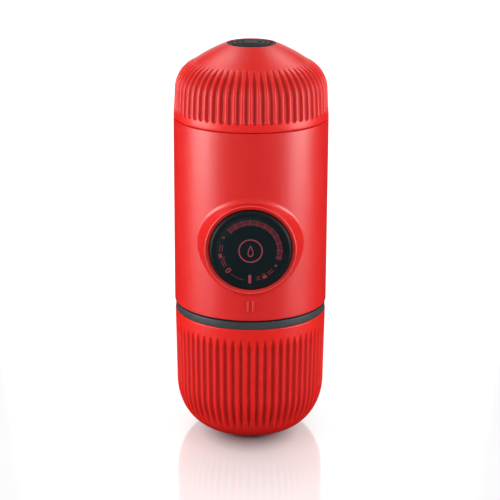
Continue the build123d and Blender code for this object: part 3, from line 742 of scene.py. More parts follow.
@dataclass(frozen=True)
class Flutes:
    """Round-bottomed grooves round a turned piece, from the outline's mark start to its end."""

    phase: float
    start: TipForm
    start_run: float
    end: TipForm
    end_run: float
    count: int = 60
    bowl: float = 0.92 * MM
    edge: float = 0.48 * MM
    edge_round: float = 0.55 * MM
    depth: float = 0.95 * MM
    pitch_radius: float = 29.6 * MM
    narrowest: float = 0.10
    bowl_places: tuple[float, ...] = (0.0, 0.33, 0.61, 0.83, 1.0)
    edge_places: tuple[float, ...] = (0.26, 0.55, 1.0)

    def section(self) -> tuple[np.ndarray, np.ndarray]:
        """Works out one groove's section, from just past one crest to the next one.

        Returns:
            Places across the groove from its middle, and how deep it is at each.
        """
        inner = self.bowl * np.array(self.bowl_places)
        outer = self.bowl + self.edge * np.array(self.edge_places)
        drop = self.edge_round - np.sqrt(self.edge_round**2 - self.edge**2)
        bowl = drop + (self.depth - drop) * (1 - (inner / self.bowl) ** 2)
        rest = self.bowl + self.edge - outer
        lip = self.edge_round - np.sqrt(self.edge_round**2 - rest**2)
        across, deep = np.concatenate((inner, outer)), np.concatenate((bowl, lip))
        crest = math.pi * self.pitch_radius / self.count
        across = np.concatenate((-across[:0:-1], across, [crest]))
        return across, np.concatenate((deep[:0:-1], deep, [0.0]))

    @staticmethod
    def tip(form: TipForm, share: np.ndarray) -> tuple[np.ndarray, np.ndarray]:
        """How wide and how deep a groove is near its end.

        Args:
            form: How it ends.
            share: How much of the way from its end to its full size each row lies.

        Returns:
            The factors for its width and for its depth.
        """
        t = np.clip(share, 0, 1)
        if form is TipForm.ROUND:
            swell = np.sqrt(1 - (1 - t) ** 2)
            return swell, swell
        if form is TipForm.POINTED:
            return t**0.62, t**0.55
        fade = t * t * (3 - 2 * t)
        return fade**0.35, fade

    def lay(
        self, along: np.ndarray, first: float, last: float
    ) -> tuple[np.ndarray, np.ndarray]:
        """Lays the grooves on a turned piece.

        Args:
            along: The distance along the outline of each row of the mesh.
            first: The distance at which the grooves start.
            last: The distance at which they end.

        Returns:
            The angle of each column in each row, in radians from the front, and the depth there.
        """
        across, deep = self.section()
        start = self.tip(self.start, (along - first) / self.start_run)
        end = self.tip(self.end, (last - along) / self.end_run)
        wide = np.maximum(start[0] * end[0], self.narrowest)
        low = start[1] * end[1]
        is_crest = np.arange(len(across)) == len(across) - 1
        spread = np.where(is_crest[None, :], 1.0, wide[:, None]) * across[None, :]
        middles = math.radians(self.phase) + 2 * math.pi / self.count * np.arange(self.count)
        angles = middles[None, :, None] + spread[:, None, :] / self.pitch_radius
        cut = np.broadcast_to((low[:, None] * deep[None, :])[:, None, :], angles.shape)
        return angles.reshape(len(along), -1), cut.reshape(len(along), -1).copy()


def between(first: np.ndarray, second: np.ndarray) -> list[list[int]]:
    """The faces between two rings of points, given by their numbers."""
    return np.stack((first, np.roll(first, -1), np.roll(second, -1), second), 1).tolist()


def turned(
    name: str, outline: Outline, flutes: Flutes | None = None, columns: int = 192
) -> bpy.types.Object:
    """Turns an outline about the maker's axis, with grooves if it has them.

    Each point of a grooved piece keeps how deep it is cut, from 0 to 1, for the finish to read.
    An outline that doesn't begin on the axis is closed into a ring.

    Args:
        name: The piece's name.
        outline: Its side outline, which may begin and end on the axis.
        flutes: Its grooves, cut between the outline's marks "start" and "end", and only between
            its marks "outside" and "inside".
        columns: How many columns a plain piece gets.

    Returns:
        The piece.
    """
    spots = np.array(outline.points)
    if flutes:
        along = outline.along()
        outside, first, last, inside = (
            along[outline.marks[mark]] for mark in ("outside", "start", "end", "inside")
        )
        angles, cut = flutes.lay(along, first, last)
        cut[(along < outside - NOUGHT) | (along > inside + NOUGHT)] = 0
    else:
        angles = np.tile(np.arange(columns) * 2 * math.pi / columns, (len(spots), 1))
        cut = np.zeros_like(angles)
    out = outline.outward()
    radius = spots[:, 0:1] - out[:, 0:1] * cut
    height = spots[:, 1:2] - out[:, 1:2] * cut
    off_axis = spots[:, 0] > NOUGHT
    grid = np.stack((radius * np.sin(angles), -radius * np.cos(angles), height), axis=2)
    points = grid[off_axis].reshape(-1, 3)
    shares = (cut[off_axis] / flutes.depth).ravel() if flutes else np.zeros(len(points))
    rings = np.arange(len(points)).reshape(-1, angles.shape[1])
    faces = []
    for ring, following in zip(rings, rings[1:]):
        faces += between(ring, following)
    for end, ring, way in ((0, rings[0], -1), (-1, rings[-1], 1)):
        if not off_axis[end]:
            points = np.vstack((points, (0.0, 0.0, spots[end, 1])))
            shares = np.append(shares, 0.0)
            pairs = np.stack((ring, np.roll(ring, -1)), 1)[:, ::way]
            faces += [[*pair, len(points) - 1] for pair in pairs.tolist()]
    if off_axis[0]:
        faces += between(rings[-1], rings[0])
    made = link_mesh(name, points, faces)
    if flutes:
        made.data.attributes.new("cut", "FLOAT", "POINT").data.foreach_set("value", shares)
    return made


def tube(name: str, path: np.ndarray, radius: float, sides: int = 14) -> bpy.types.Object:
    """A round wire along a path, closed at its ends.

    Args:
        name: The piece's name.
        path: The points of its centreline, close together.
        radius: The wire's radius.
        sides: How many sides its section has.

    Returns:
        The piece.
    """
    run = np.gradient(path, axis=0)
    run /= np.linalg.norm(run, axis=1)[:, None]
    side = np.cross(run, (0.0, 1.0, 0.0))
    side /= np.linalg.norm(side, axis=1)[:, None]
    top = np.cross(side, run)
    turn = (np.arange(sides) * 2 * math.pi / sides)[None, :, None]
    section = side[:, None] * np.cos(turn) + top[:, None] * np.sin(turn)
    points = (path[:, None] + section * radius).reshape(-1, 3)
    rings = np.arange(len(points)).reshape(-1, sides)
    faces = []
    for ring, following in zip(rings, rings[1:]):
        corners = (ring, following, np.roll(following, -1), np.roll(ring, -1))
        faces += np.stack(corners, axis=1).tolist()
    faces += [rings[0].tolist(), rings[-1, ::-1].tolist()]
    return link_mesh(name, points, faces)


class FrontMarks:
    """Flat marks on a plane that faces -Y, each a thin plate between two depths."""

    def __init__(self, centre: Vector, front: float, back: float) -> None:
        """Starts with no marks.

        Args:
            centre: The point that marks are placed about.
            front: The Y of their faces.
            back: The Y that they reach back to.
        """
        self.centre, self.front, self.back = centre, front, back
        self.points: list[tuple[float, float, float]] = []
        self.faces: list[list[int]] = []

    def line(self, points: Sequence[Point], depth: float) -> int:
        """Adds a line of points at a depth, and gives the number of its first one."""
        self.points += [(self.centre.x + x, depth, self.centre.z + z) for x, z in points]
        return len(self.points) - len(points)

    def plate(self, corners: Sequence[Point]) -> None:
        """Adds a convex plate.

        Args:
            corners: Its corners across and up from the centre, counter-clockwise from the front.
        """
        n = len(corners)
        a, b = self.line(corners, self.front), self.line(corners, self.back)
        self.faces += [[a + i for i in range(n)], [b + i for i in reversed(range(n))]]
        for i in range(n):
            j = (i + 1) % n
            self.faces.append([a + i, b + i, b + j, a + j])

    def band(self, inner: Sequence[Point], outer: Sequence[Point], closed: bool) -> None:
        """Adds a strip between two lines of points that run counter-clockwise.

        Args:
            inner: The points of its inner edge.
            outer: The points of its outer edge, as many.
            closed: Whether the strip comes back to its start.
        """
        n = len(inner)
        a, b, c, d = (self.line(e, y) for y in (self.front, self.back) for e in (inner, outer))
        for i in range(n if closed else n - 1):
            j = (i + 1) % n
            self.faces += [
                [a + i, b + i, b + j, a + j],
                [c + i, c + j, d + j, d + i],
                [a + i, a + j, c + j, c + i],
                [b + i, d + i, d + j, b + j],
            ]
        if not closed:
            m = n - 1
            self.faces += [[a, c, d, b], [b + m, d + m, c + m, a + m]]

    def piece(self, name: str) -> bpy.types.Object:
        """Makes the marks one piece."""
        return link_mesh(name, np.array(self.points), self.faces, smooth=False)


def polar(radius: float, angle: float) -> Point:
    """The point at a radius and an angle in degrees, counter-clockwise from +X."""
    return (radius * math.cos(math.radians(angle)), radius * math.sin(math.radians(angle)))


def arc(radius: float, first: float, last: float, steps: int) -> list[Point]:
    """Points along an arc about the origin, its last one included."""
    return [polar(radius, first + (last - first) * i / steps) for i in range(steps + 1)]


def turned_to(points: Sequence[Point], angle: float, at: Point) -> list[Point]:
    """Turns points counter-clockwise by an angle in degrees, then moves their origin."""
    c, s = polar(1.0, angle)
    return [(at[0] + x * c - y * s, at[1] + x * s + y * c) for x, y in points]


def stadium(half_width: float, half_length: float, steps: int = 8) -> list[Point]:
    """A shape with straight sides and round ends, upright, counter-clockwise.

    Args:
        half_width: Half its width.
        half_length: Half its length, its round ends included.
        steps: How many sides each round end has.

    Returns:
        Its corners about its middle.
    """
    rise = half_length - half_width
    top = [(x, y + rise) for x, y in arc(half_width, 0, 180, steps)]
    bottom = [(x, y - rise) for x, y in arc(half_width, 180, 360, steps)]
    return top + bottom


def bar(left: float, low: float, right: float, high: float) -> list[Point]:
    """An upright rectangle, its sides given in millimetres, counter-clockwise."""
    corners = ((left, low), (right, low), (right, high), (left, high))
    return [(x * MM, z * MM) for x, z in corners]


# ---------------------------------------------------------------- sub-assemblies


@dataclass
class Assembly:
    """A sub-assembly of the maker, built around the CAD nodes of its frame."""

    frame: Mapping[str, Any]

    def dress(self, finish: Finish, *nodes: str) -> None:
        """Gives carried-over CAD nodes their finish.

        Args:
            finish: The finish.
            nodes: The nodes' names.
        """
        for node in nodes:
            finish.cover(self.frame["nodes"][node])
            LOG.info("%s: %s", node, finish.name)

    @staticmethod
    def add(piece: bpy.types.Object, body: str, finish: Finish) -> None:
        """Adds a piece to a CAD body.

        Args:
            piece: The piece, in place.
            body: The body it moves with.
            finish: Its finish.
        """
        finish.cover(piece)
        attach(piece, body)
        LOG.info("%s on %s", piece.name, body)

    @staticmethod
    def stand_in(piece: bpy.types.Object, node: str, slot: str) -> None:
        """Says that a piece takes the place of a CAD node.

        Args:
            piece: The piece.
            node: The node it stands for.
            slot: The record's material slot that it is made of; not used.
        """
        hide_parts(node)
        LOG.info("%s stands for %s", piece.name, node)


@dataclass
class Tank(Assembly):
    """The ribbed water tank, its liner and gasket."""

    foot_radius: float = 13.5 * MM
    waist_radius: float = 29.3 * MM
    waist_height: float = 20.0 * MM
    bore: float = 27.1 * MM
    wall: float = 2.2 * MM
    rim: float = 0.4 * MM
    foot_turn: float = 270
    groove_turn: float = 310
    side_turn: float = 360
    groove_top: float = 45.4 * MM
    ribs: Flutes = Flutes(-0.75, TipForm.FADING, 9.0 * MM, TipForm.POINTED, 4.2 * MM)

    def outline(self) -> Outline:
        """Draws the tank's wall, from the middle of its foot round to the middle of its floor.

        Returns:
            The outline.
        """
        low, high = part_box("tank_shell")
        top, top_radius, rim = high.z, high.x, self.rim
        centre = (self.foot_radius, low.z + self.waist_height)
        outer = (self.waist_radius - self.foot_radius, self.waist_height)
        inner = (self.bore - self.foot_radius, self.waist_height - self.wall)
        slope = (top_radius - self.waist_radius) / (top - centre[1])

        def rise(height: float, steps: int) -> None:
            """Goes up the tank's slightly sloping side."""
            line.to(self.waist_radius + slope * (height - centre[1]), height, steps)

        line = Outline(0.0, low.z)
        line.to(self.foot_radius, low.z, 3).mark("outside")
        line.round(centre, outer, self.foot_turn, self.groove_turn, 8).mark("start")
        line.round(centre, outer, self.groove_turn, self.side_turn, 20)
        rise(self.groove_top - self.ribs.end_run, 8)
        rise(self.groove_top - self.ribs.end_run / 4, 10)
        rise(self.groove_top, 9)
        line.mark("end")
        rise(top - rim, 3)
        line.mark("inside")
        line.round((top_radius - rim, top - rim), (rim, rim), 0, 90, 5)
        line.to(self.bore, top, 1).to(self.bore, centre[1], 2)
        line.round(centre, inner, self.side_turn, self.foot_turn, 10)
        return line.to(0.0, low.z + self.wall, 2)

    def build(self) -> None:
        """Builds the ribbed shell and dresses the rest."""
        shell = turned("tank_ribbed_shell", self.outline(), self.ribs)
        self.add(shell, "tank", RED_RIBS_PAINTED_LIGHT)
        self.stand_in(shell, "tank_shell", "red_shell")
        self.dress(LINER_PLASTIC, "tank_liner")
        self.dress(SEAL_RUBBER, "tank_gasket")


@dataclass
class Cup(Assembly):
    """The ribbed cup over the outlet, and the foot pad on its top.

    The grooves' rows, each with its count of steps, and the pad's rings are in millimetres.
    """

    waist_radius: float = 29.4 * MM
    shoulder_height: float = 10.8 * MM
    shoulder_radius: float = 11.8 * MM
    shoulder_turn: float = 61.5
    slope_bow: float = 0.35 * MM
    bore: float = 27.2 * MM
    bore_round: float = 1.0 * MM
    dome_wall: float = 2.3 * MM
    ceiling: float = 153.0 * MM
    rim: float = 0.5 * MM
    groove_rows: tuple[tuple[float, int], ...] = ((2.9, 2), (3.3, 6), (4.2, 6))
    groove_overrun: float = 0.10
    lip_round: float = 0.8 * MM
    lip_drop: float = 0.35
    land: float = 0.3 * MM
    pocket_gap: float = 0.1 * MM
    pad_radius: float = 9.3 * MM
    pad_edge: float = 0.25 * MM
    pad_crown: float = 0.75 * MM
    pad_rings: tuple[Point, ...] = ((8.1, 7.3), (6.1, 5.3), (4.1, 3.3))
    pad_middle: float = 1.6 * MM
    ring_drop: float = 0.25
    ring_slope: float = 0.15
    ribs: Flutes = Flutes(2.6, TipForm.ROUND, 1.3 * MM, TipForm.POINTED, 6.0 * MM)

    def outline(self) -> Outline:
        """Draws the cup's wall, from the middle of its ceiling down, round and over the top.

        Returns:
            The outline.
        """
        low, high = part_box("cup_shell")
        bottom, top, radius, rim = low.z, high.z, high.x, self.rim
        centre = (self.waist_radius - self.shoulder_radius, bottom + self.shoulder_height)
        size = self.shoulder_radius
        turn = math.radians(self.shoulder_turn)
        inner = size - self.dome_wall
        spot = (centre[0] + inner * math.cos(turn), centre[1] + inner * math.sin(turn))
        slope = math.tan(math.pi / 2 - turn)
        line = Outline(0.0, self.ceiling)
        line.to(spot[0] - (self.ceiling - spot[1]) / slope, self.ceiling, 2).to(*spot, 2)
        line.round(centre, (inner, inner), self.shoulder_turn, 0, 8)
        line.to(self.bore, centre[1] - self.bore_round, 1).to(self.bore, bottom, 2)
        line.to(radius - rim, bottom, 1).mark("outside")
        line.round((radius - rim, bottom + rim), (rim, rim), 270, 360, 4)
        lean = (radius - self.waist_radius) / self.shoulder_height
        for height, steps in (*self.groove_rows, (self.shoulder_height / MM, 4)):
            line.to(radius - lean * height * MM, bottom + height * MM, steps)
            if "start" not in line.marks:
                line.mark("start")
        line.round(centre, (size, size), 0, self.shoulder_turn, 20)
        end = np.array(line.points[-1])
        lip = np.array((self.pad_radius + self.land, top))
        line.to(*(end + (lip - end) * self.groove_overrun), 5).mark("end")
        turn_in = lip - (lip - end) / np.hypot(*(lip - end)) * self.lip_round
        line.to(*turn_in, 14, bow=self.slope_bow).mark("inside")
        pocket = self.pad_radius + self.pocket_gap
        low_lip = np.array((pocket, top - self.lip_round * self.lip_drop))
        for share in (0.25, 0.5, 0.75, 1.0):
            bend = turn_in * (1 - share) ** 2 + lip * 2 * share * (1 - share)
            line.to(*(bend + low_lip * share**2))
        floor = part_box("cup_foot")[0].z
        return line.to(pocket, floor, 1).to(0.0, floor, 2)

    def pad(self) -> Outline:
        """Draws the foot pad: rings on a slightly crowned disc with a rounded edge.

        Returns:
            The outline.
        """
        low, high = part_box("cup_foot")
        edge = self.pad_edge

        def crown(radius: float) -> float:
            """The height of the pad's face at a radius."""
            return high.z - self.pad_crown * (radius / self.pad_radius) ** 2

        rim = self.pad_radius - edge
        line = Outline(0.0, low.z)
        line.to(self.pad_radius, low.z, 2).to(self.pad_radius, crown(rim) - edge, 1)
        line.round((rim, crown(rim) - edge), (edge, edge), 0, 90, 4)
        drop, slope = self.ring_drop, self.ring_slope
        for outer, inner in self.pad_rings:
            ring = ((outer, 0.0), (outer - slope, drop), (inner + slope, drop), (inner, 0.0))
            for radius, depth in ring:
                line.to(radius * MM, crown(radius * MM) - depth * MM)
        return line.to(self.pad_middle, crown(self.pad_middle), 2).to(0.0, high.z, 2)

    def build(self) -> None:
        """Builds the ribbed shell and the pad."""
        shell = turned("cup_ribbed_shell", self.outline(), self.ribs)
        self.add(shell, "cup", RED_RIBS_PAINTED_LIGHT)
        self.stand_in(shell, "cup_shell", "red_shell")
        pad = turned("cup_foot_pad", self.pad(), columns=96)
        self.add(pad, "cup", FOOT_RUBBER)
        self.stand_in(pad, "cup_foot", "foot_rubber")


@dataclass
class Dial(Assembly):
    """The marks printed on the knob's dial.

    Its sizes are in millimetres. Angles count in degrees, counter-clockwise from +X.
    """

    proud: float = 0.05
    sunk: float = 0.04
    tick_count: int = 52
    first_tick: float = 136
    tick_step: float = 3.0
    long_every: int = 5
    long_tick: tuple[Point, ...] = ((9.9, 12.2),)
    short_tick: tuple[Point, ...] = ((10.1, 10.95), (11.25, 12.0))
    long_half: float = 0.17
    short_half: float = 0.13
    nought: Point = (11.35, 222.5)
    nought_edges: tuple[Point, ...] = ((0.36, 0.80), (0.72, 1.16))
    dash: tuple[float, ...] = (-0.30, -0.09, 0.30, 0.09)
    dash_ring: float = 11.7
    dash_angles: tuple[float, ...] = (233, 237.6, 242.2, 246.8, 251.4, 256)
    end_bar: Point = (0.55, 1.75)
    end_bar_place: Point = (-0.25, -11.1)
    lock_reach: float = 11.1
    open_lock: float = 190
    closed_lock: float = 298
    lock_body: tuple[float, ...] = (-0.85, -1.0, 0.85, 0.2)
    shackle: Point = (0.38, 0.62)
    shackle_foot: float = 0.15
    shackle_bow: float = 0.45
    open_shift: float = 0.95
    open_turn: float = 150
    side_lines: tuple[Point, ...] = ((167.5, 181.5), (198.5, 212.5), (281, 289.5), (306.5, 319))
    line_rings: Point = (10.7, 11.6)
    line_half: float = 0.12
    dots: tuple[Point, ...] = ((11.4, 152.5), (11.2, 329.0))
    dot_radius: float = 0.48
    ring: Point = (4.15, 4.60)
    drop_points: int = 36
    drop_size: Point = (1.55, 2.35)
    drop_taper: float = 1.4
    drop_hole: Point = (0.70, 0.74)
    drop_hole_sink: float = 0.18

    def marks(self) -> FrontMarks:
        """A fresh set of marks on the dial's face."""
        low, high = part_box("knob_dial")
        return FrontMarks((low + high) / 2, low.y - self.proud * MM, low.y + self.sunk * MM)

    def scale(self) -> FrontMarks:
        """Draws two rows of fine ticks round the upper side, with longer ones between.

        Returns:
            The marks.
        """
        marks = self.marks()
        for i in range(self.tick_count):
            is_long = i % self.long_every == 0
            half = self.long_half if is_long else self.short_half
            for low, high in self.long_tick if is_long else self.short_tick:
                tick = bar(low, -half, high, half)
                angle = self.first_tick - i * self.tick_step
                marks.plate(turned_to(tick, angle, (0.0, 0.0)))
        return marks

    def positions(self) -> FrontMarks:
        """Draws the two end marks of the knob's turn: a nought, dashes and a filled bar.

        Returns:
            The marks.
        """
        marks = self.marks()
        radius, angle = self.nought
        at, turn = polar(radius * MM, angle), angle - 90
        edges = (stadium(width * MM, length * MM) for width, length in self.nought_edges)
        marks.band(*(turned_to(edge, turn, at) for edge in edges), closed=True)
        for angle in self.dash_angles:
            at = polar(self.dash_ring * MM, angle)
            marks.plate(turned_to(bar(*self.dash), angle + 90, at))
        (width, length), (across, up) = self.end_bar, self.end_bar_place
        end_bar = stadium(width * MM, length * MM)
        marks.plate(turned_to(end_bar, 0, (across * MM, up * MM)))
        return marks

    def padlock(self, marks: FrontMarks, angle: float, is_open: bool) -> None:
        """Adds a small padlock that stands towards the dial's middle.

        Args:
            marks: The marks to add it to.
            angle: Where it stands.
            is_open: Whether its shackle is open.
        """
        at, turn = polar(self.lock_reach * MM, angle), angle + 90
        marks.plate(turned_to(bar(*self.lock_body), turn, at))
        shift, last = (self.open_shift, self.open_turn) if is_open else (0.0, 180)
        edges = []
        for radius in self.shackle:
            edge = [(x + shift, z + self.shackle_bow) for x, z in arc(radius, 0, last, 10)]
            edge = [(radius + shift, self.shackle_foot), *edge]
            if not is_open:
                edge.append((-radius, self.shackle_foot))
            edges.append(turned_to([(x * MM, z * MM) for x, z in edge], turn, at))
        marks.band(*edges, closed=False)

    def signs(self) -> FrontMarks:
        """Draws the open and the closed padlock, each with lines beside it, and two dots.

        Returns:
            The marks.
        """
        marks = self.marks()
        self.padlock(marks, self.open_lock, is_open=True)
        self.padlock(marks, self.closed_lock, is_open=False)
        for first, last in self.side_lines:
            for radius in self.line_rings:
                edges = (radius - self.line_half, radius + self.line_half)
                marks.band(*(arc(r * MM, first, last, 8) for r in edges), closed=False)
        for radius, angle in self.dots:
            dot = arc(self.dot_radius * MM, 0, 337.5, 15)
            marks.plate(turned_to(dot, 0, polar(radius * MM, angle)))
        return marks

    def centre(self) -> FrontMarks:
        """Draws a plain ring with a drop of water in it.

        Returns:
            The marks.
        """
        marks = self.marks()
        marks.band(*(arc(radius * MM, 0, 354, 59) for radius in self.ring), closed=True)
        (width, height), (across, up), outer = self.drop_size, self.drop_hole, []
        for i in range(self.drop_points):
            t = 2 * math.pi * i / self.drop_points
            wide = math.sin(t) * math.sin(t / 2) ** self.drop_taper
            outer.append((-width * wide * MM, height * math.cos(t) * MM))
        inner = [(x * across, z * up - self.drop_hole_sink * MM) for x, z in outer]
        marks.band(inner, outer, closed=True)
        return marks

    def build(self) -> None:
        """Builds the marks and dresses the dial's plate."""
        self.dress(DIAL_LACQUER, "knob_dial")
        self.add(self.scale().piece("dial_scale"), "knob", SCALE_INK)
        self.add(self.positions().piece("dial_positions"), "knob", SIGN_INK)
        self.add(self.signs().piece("dial_signs"), "knob", SCALE_INK)
        self.add(self.centre().piece("dial_centre"), "knob", SIGN_INK)


@dataclass
class Pump(Assembly):
    """The knob, rod, piston and cylinder, with the return spring between them."""

    wire: float = 0.7 * MM
    coil_radius: float = 9.6 * MM
    turns: int = 6
    closed_turns: float = 0.75
    closed_gap: float = 1.03
    steps_per_turn: int = 48

    def spring_path(self, low: Vector, high: Vector) -> np.ndarray:
        """Winds the return spring's centreline, with its end turns closed.

        Args:
            low: The lowest corner of the spring's box.
            high: The highest corner.

        Returns:
            The points of the centreline.
        """
        length = high.y - low.y - 2 * self.wire
        turn = np.linspace(0, self.turns, self.turns * self.steps_per_turn + 1)
        shut = 2 * self.wire * self.closed_gap
        open_turns = self.turns - 2 * self.closed_turns
        pitch = (length - 2 * self.closed_turns * shut) / open_turns
        rise = (
            np.clip(turn, 0, self.closed_turns) * shut
            + np.clip(turn - self.closed_turns, 0, open_turns) * pitch
            + np.clip(turn - self.closed_turns - open_turns, 0, None) * shut
        )
        angle = 2 * math.pi * turn
        across = self.coil_radius * np.cos(angle)
        up = (low.z + high.z) / 2 + self.coil_radius * np.sin(angle)
        return np.stack((across, high.y - self.wire - rise, up), axis=1)

    def build(self) -> None:
        """Builds the spring and dresses the rest."""
        low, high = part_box("return_spring")
        spring = SPRING_STEEL.cover(tube("return_coil", self.spring_path(low, high), self.wire))
        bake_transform(spring)
        self.stand_in(spring, "return_spring", "steel")
        self.dress(BLACK_KNOB, "piston_knob")
        self.dress(BLACK_PLASTIC, "lock_ring", "pump_body", "gland_cap", "piston_head")
        self.dress(TURNED_STEEL, "piston_rod", "rod_screw")
        self.dress(SEAL_RUBBER, "piston_seal")


@dataclass
class Body(Assembly):
    """The body tube with its collar and decks, and the water path inside."""

    step_radius: float = 28.95 * MM
    step_height: float = 0.5 * MM
    hub_radius: float = 25.9 * MM
    lip_radius: float = 27.3 * MM
    lip_height: float = 1.15 * MM
    neck_radius: float = 28.4 * MM
    edge: float = 0.25 * MM
    knob_lip_radius: float = 17.13 * MM
    knob_lip_wire: float = 0.24 * MM
    knob_lip_sink: float = 0.12 * MM
    bar_place: float = 0.93 * MM
    bar_rise: float = 5.8 * MM
    bar_reach: float = 30.39 * MM
    bar_depth: float = 0.15 * MM
    bar_half_width: float = 0.25 * MM
    bar_half_length: float = 2.0 * MM

    def index_bars(self) -> bpy.types.Object:
        """Builds the raised faces of the two bars under the boss.

        Returns:
            The piece.
        """
        middle = Vector((0.0, 0.0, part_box("main_shell")[0].z + self.bar_rise))
        marks = FrontMarks(middle, -self.bar_reach, self.bar_depth - self.bar_reach)
        shape = stadium(self.bar_half_width, self.bar_half_length)
        for side in (-self.bar_place, self.bar_place):
            marks.plate([(x + side, z) for x, z in shape])
        return marks.piece("index_bars")

    def knob_lip(self) -> bpy.types.Object:
        """Builds the thin rounded lip round the knob's recess, turned to face the front.

        Returns:
            The piece.
        """
        radius, wire = self.knob_lip_radius, self.knob_lip_wire
        line = Outline(radius + wire, 0.0).round((radius, 0.0), (wire, wire), 0, 345, 12)
        lip = turned("knob_lip", line)
        low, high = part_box("knob_dial")
        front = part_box("main_shell")[0].y + self.knob_lip_sink
        place = Matrix.Translation((0.0, front, (low.z + high.z) / 2))
        lip.data.transform(place @ Matrix.Rotation(math.radians(90), 4, "X"))
        return lip

    def collar(self) -> Outline:
        """Draws the grey collar: a band with rounded edges on an inner hub.

        Returns:
            The outline.
        """
        low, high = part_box("collar_ring")
        edge, top = self.edge, high.z - self.step_height
        shoulder = high.x - edge
        line = Outline(self.lip_radius, low.z).to(shoulder, low.z)
        line.round((shoulder, low.z + edge), (edge, edge), 270, 360, 4)
        line.round((shoulder, top - edge), (edge, edge), 0, 90, 4)
        line.to(self.neck_radius, top).to(self.neck_radius, high.z)
        line.to(self.hub_radius, high.z).to(self.hub_radius, low.z + self.lip_height)
        return line.to(self.lip_radius, low.z + self.lip_height)

    def recess(self) -> Outline:
        """Draws the band set back between the collar and the body tube, black as painted shade.

        Returns:
            The outline.
        """
        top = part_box("collar_ring")[1].z
        line = Outline(self.neck_radius, top - self.step_height)
        line.to(self.step_radius, top - self.step_height).to(self.step_radius, top)
        return line.to(self.neck_radius, top)

    def build(self) -> None:
        """Builds the collar, the lip and the bars' faces, and dresses the rest."""
        collar = turned("collar_band", self.collar())
        self.add(collar, "body", GREY_COLLAR)
        self.stand_in(collar, "collar_ring", "grey_collar")
        # The set-back band is made near-black as painted shade.
        self.add(turned("collar_recess", self.recess()), "body", RECESS_PAINTED_SHADE)
        # The lip and the bars' faces get the paler red as a painted highlight.
        self.add(self.knob_lip(), "body", RED_PAINTED_HIGHLIGHT)
        self.add(self.index_bars(), "body", RED_PAINTED_HIGHLIGHT)
        self.dress(RED_SHELL, "main_shell")
        self.dress(BLACK_PLASTIC, "lower_deck", "upper_deck")
        self.dress(SEAL_RUBBER, "riser_tube", "inlet_valve", "vent_valve", "cup_grip_ring")
        self.dress(ROLLED_STEEL, "inlet_strainer", "tie_screws")
        self.dress(TURNED_STEEL, "outlet_ball")
        self.dress(SPRING_STEEL, "outlet_spring")


@dataclass
class BrewEnd(Assembly):
    """The shower screen, basket, scoop and the outlet head over them."""

    def build(self) -> None:
        """Dresses the nodes."""
        self.dress(ROLLED_STEEL, "shower_screen", "shower_screw", "filter_basket")
        self.dress(SCOOP_PLASTIC, "scoop")
        self.dress(SEAL_RUBBER, "head_gasket")
        self.dress(BLACK_PLASTIC, "outlet_head", "spout")


# ---------------------------------------------------------------- studio


@dataclass(frozen=True)
class Placed:
    """Something that stands round the maker, in degrees from its front and above its middle."""

    name: str
    azimuth: float
    elevation: float
    distance: float

    def facing(self, aim: Vector) -> Matrix:
        """Works out its place, turned so that its +Z looks away from the maker.

        Args:
            aim: The maker's middle.

        Returns:
            The place.
        """
        a, e = math.radians(self.azimuth), math.radians(self.elevation)
        away = Vector((math.sin(a) * math.cos(e), -math.cos(a) * math.cos(e), math.sin(e)))
        turn = away.to_track_quat("Z", "Y").to_matrix().to_4x4()
        return Matrix.Translation(aim + away * self.distance) @ turn

    def hang(self, lamp: bpy.types.Light, aim: Vector) -> bpy.types.Object:
        """Puts a lamp in this place.

        Args:
            lamp: The lamp.
            aim: The point it faces.

        Returns:
            The lamp's object.
        """
        made = bpy.data.objects.new(self.name, lamp)
        made.matrix_world = self.facing(aim)
        bpy.context.scene.collection.objects.link(made)
        LOG.info("lamp %s", self.name)
        return made


@dataclass(frozen=True)
class Softbox(Placed):
    """One soft lamp."""

    width: float
    height: float
    power: float

    def build(self, aim: Vector) -> None:
        """Adds the lamp.

        Args:
            aim: The point it faces.
        """
        lamp = bpy.data.lights.new(self.name, "AREA")
        lamp.shape = "RECTANGLE"
        lamp.size, lamp.size_y, lamp.energy = self.width, self.height, self.power
        self.hang(lamp, aim)


@dataclass(frozen=True)
class Fill(Placed):
    """A very soft, even light from one side, which leaves no bright patch on satin surfaces."""

    spread: float
    strength: float

    def build(self, aim: Vector) -> None:
        """Adds the light.

        Args:
            aim: The point it faces.
        """
        lamp = bpy.data.lights.new(self.name, "SUN")
        lamp.angle, lamp.energy = math.radians(self.spread), self.strength
        self.hang(lamp, aim).visible_glossy = False


@dataclass(frozen=True)
class DarkCard(Placed):
    """A dark card that only dims what the maker mirrors, and can't be seen from its outer side."""

    width: float
    height: float
    floor_gap: float = 0.5 * MM
    felt: Noise = Noise(4.0 * MM)
    felt_black: Colour = (0.012, 0.012, 0.012)
    felt_grey: Colour = (0.02, 0.02, 0.02)

    def build(self, aim: Vector) -> None:
        """Adds the card, cut off at the floor.

        Args:
            aim: The point it faces.
        """
        place = self.facing(aim)
        w, h = self.width / 2, self.height / 2
        corners = [place @ Vector((x, y, 0.0)) for x, y in ((-w, -h), (w, -h), (w, h), (-w, h))]
        for corner in corners:
            corner.z = max(corner.z, self.floor_gap)
        made = link_mesh(self.name, np.array(corners), [[0, 1, 2, 3]], smooth=False)
        material, graph = new_material(self.name)
        cloth = graph.surface(
            Base_Color=graph.mix(graph.noise(self.felt), self.felt_black, self.felt_grey),
            Roughness=0.9,
            Specular_IOR_Level=0.1,
        )
        inner = graph.get("NewGeometry", output="Backfacing")
        clear = graph.get("BsdfTransparent")
        graph.finish(graph.get("MixShader", None, {0: inner, 1: clear, 2: cloth}))
        made.data.materials.append(material)
        made.visible_camera = made.visible_diffuse = made.visible_shadow = False
        made.visible_transmission = made.visible_volume_scatter = False
        LOG.info("card %s", self.name)


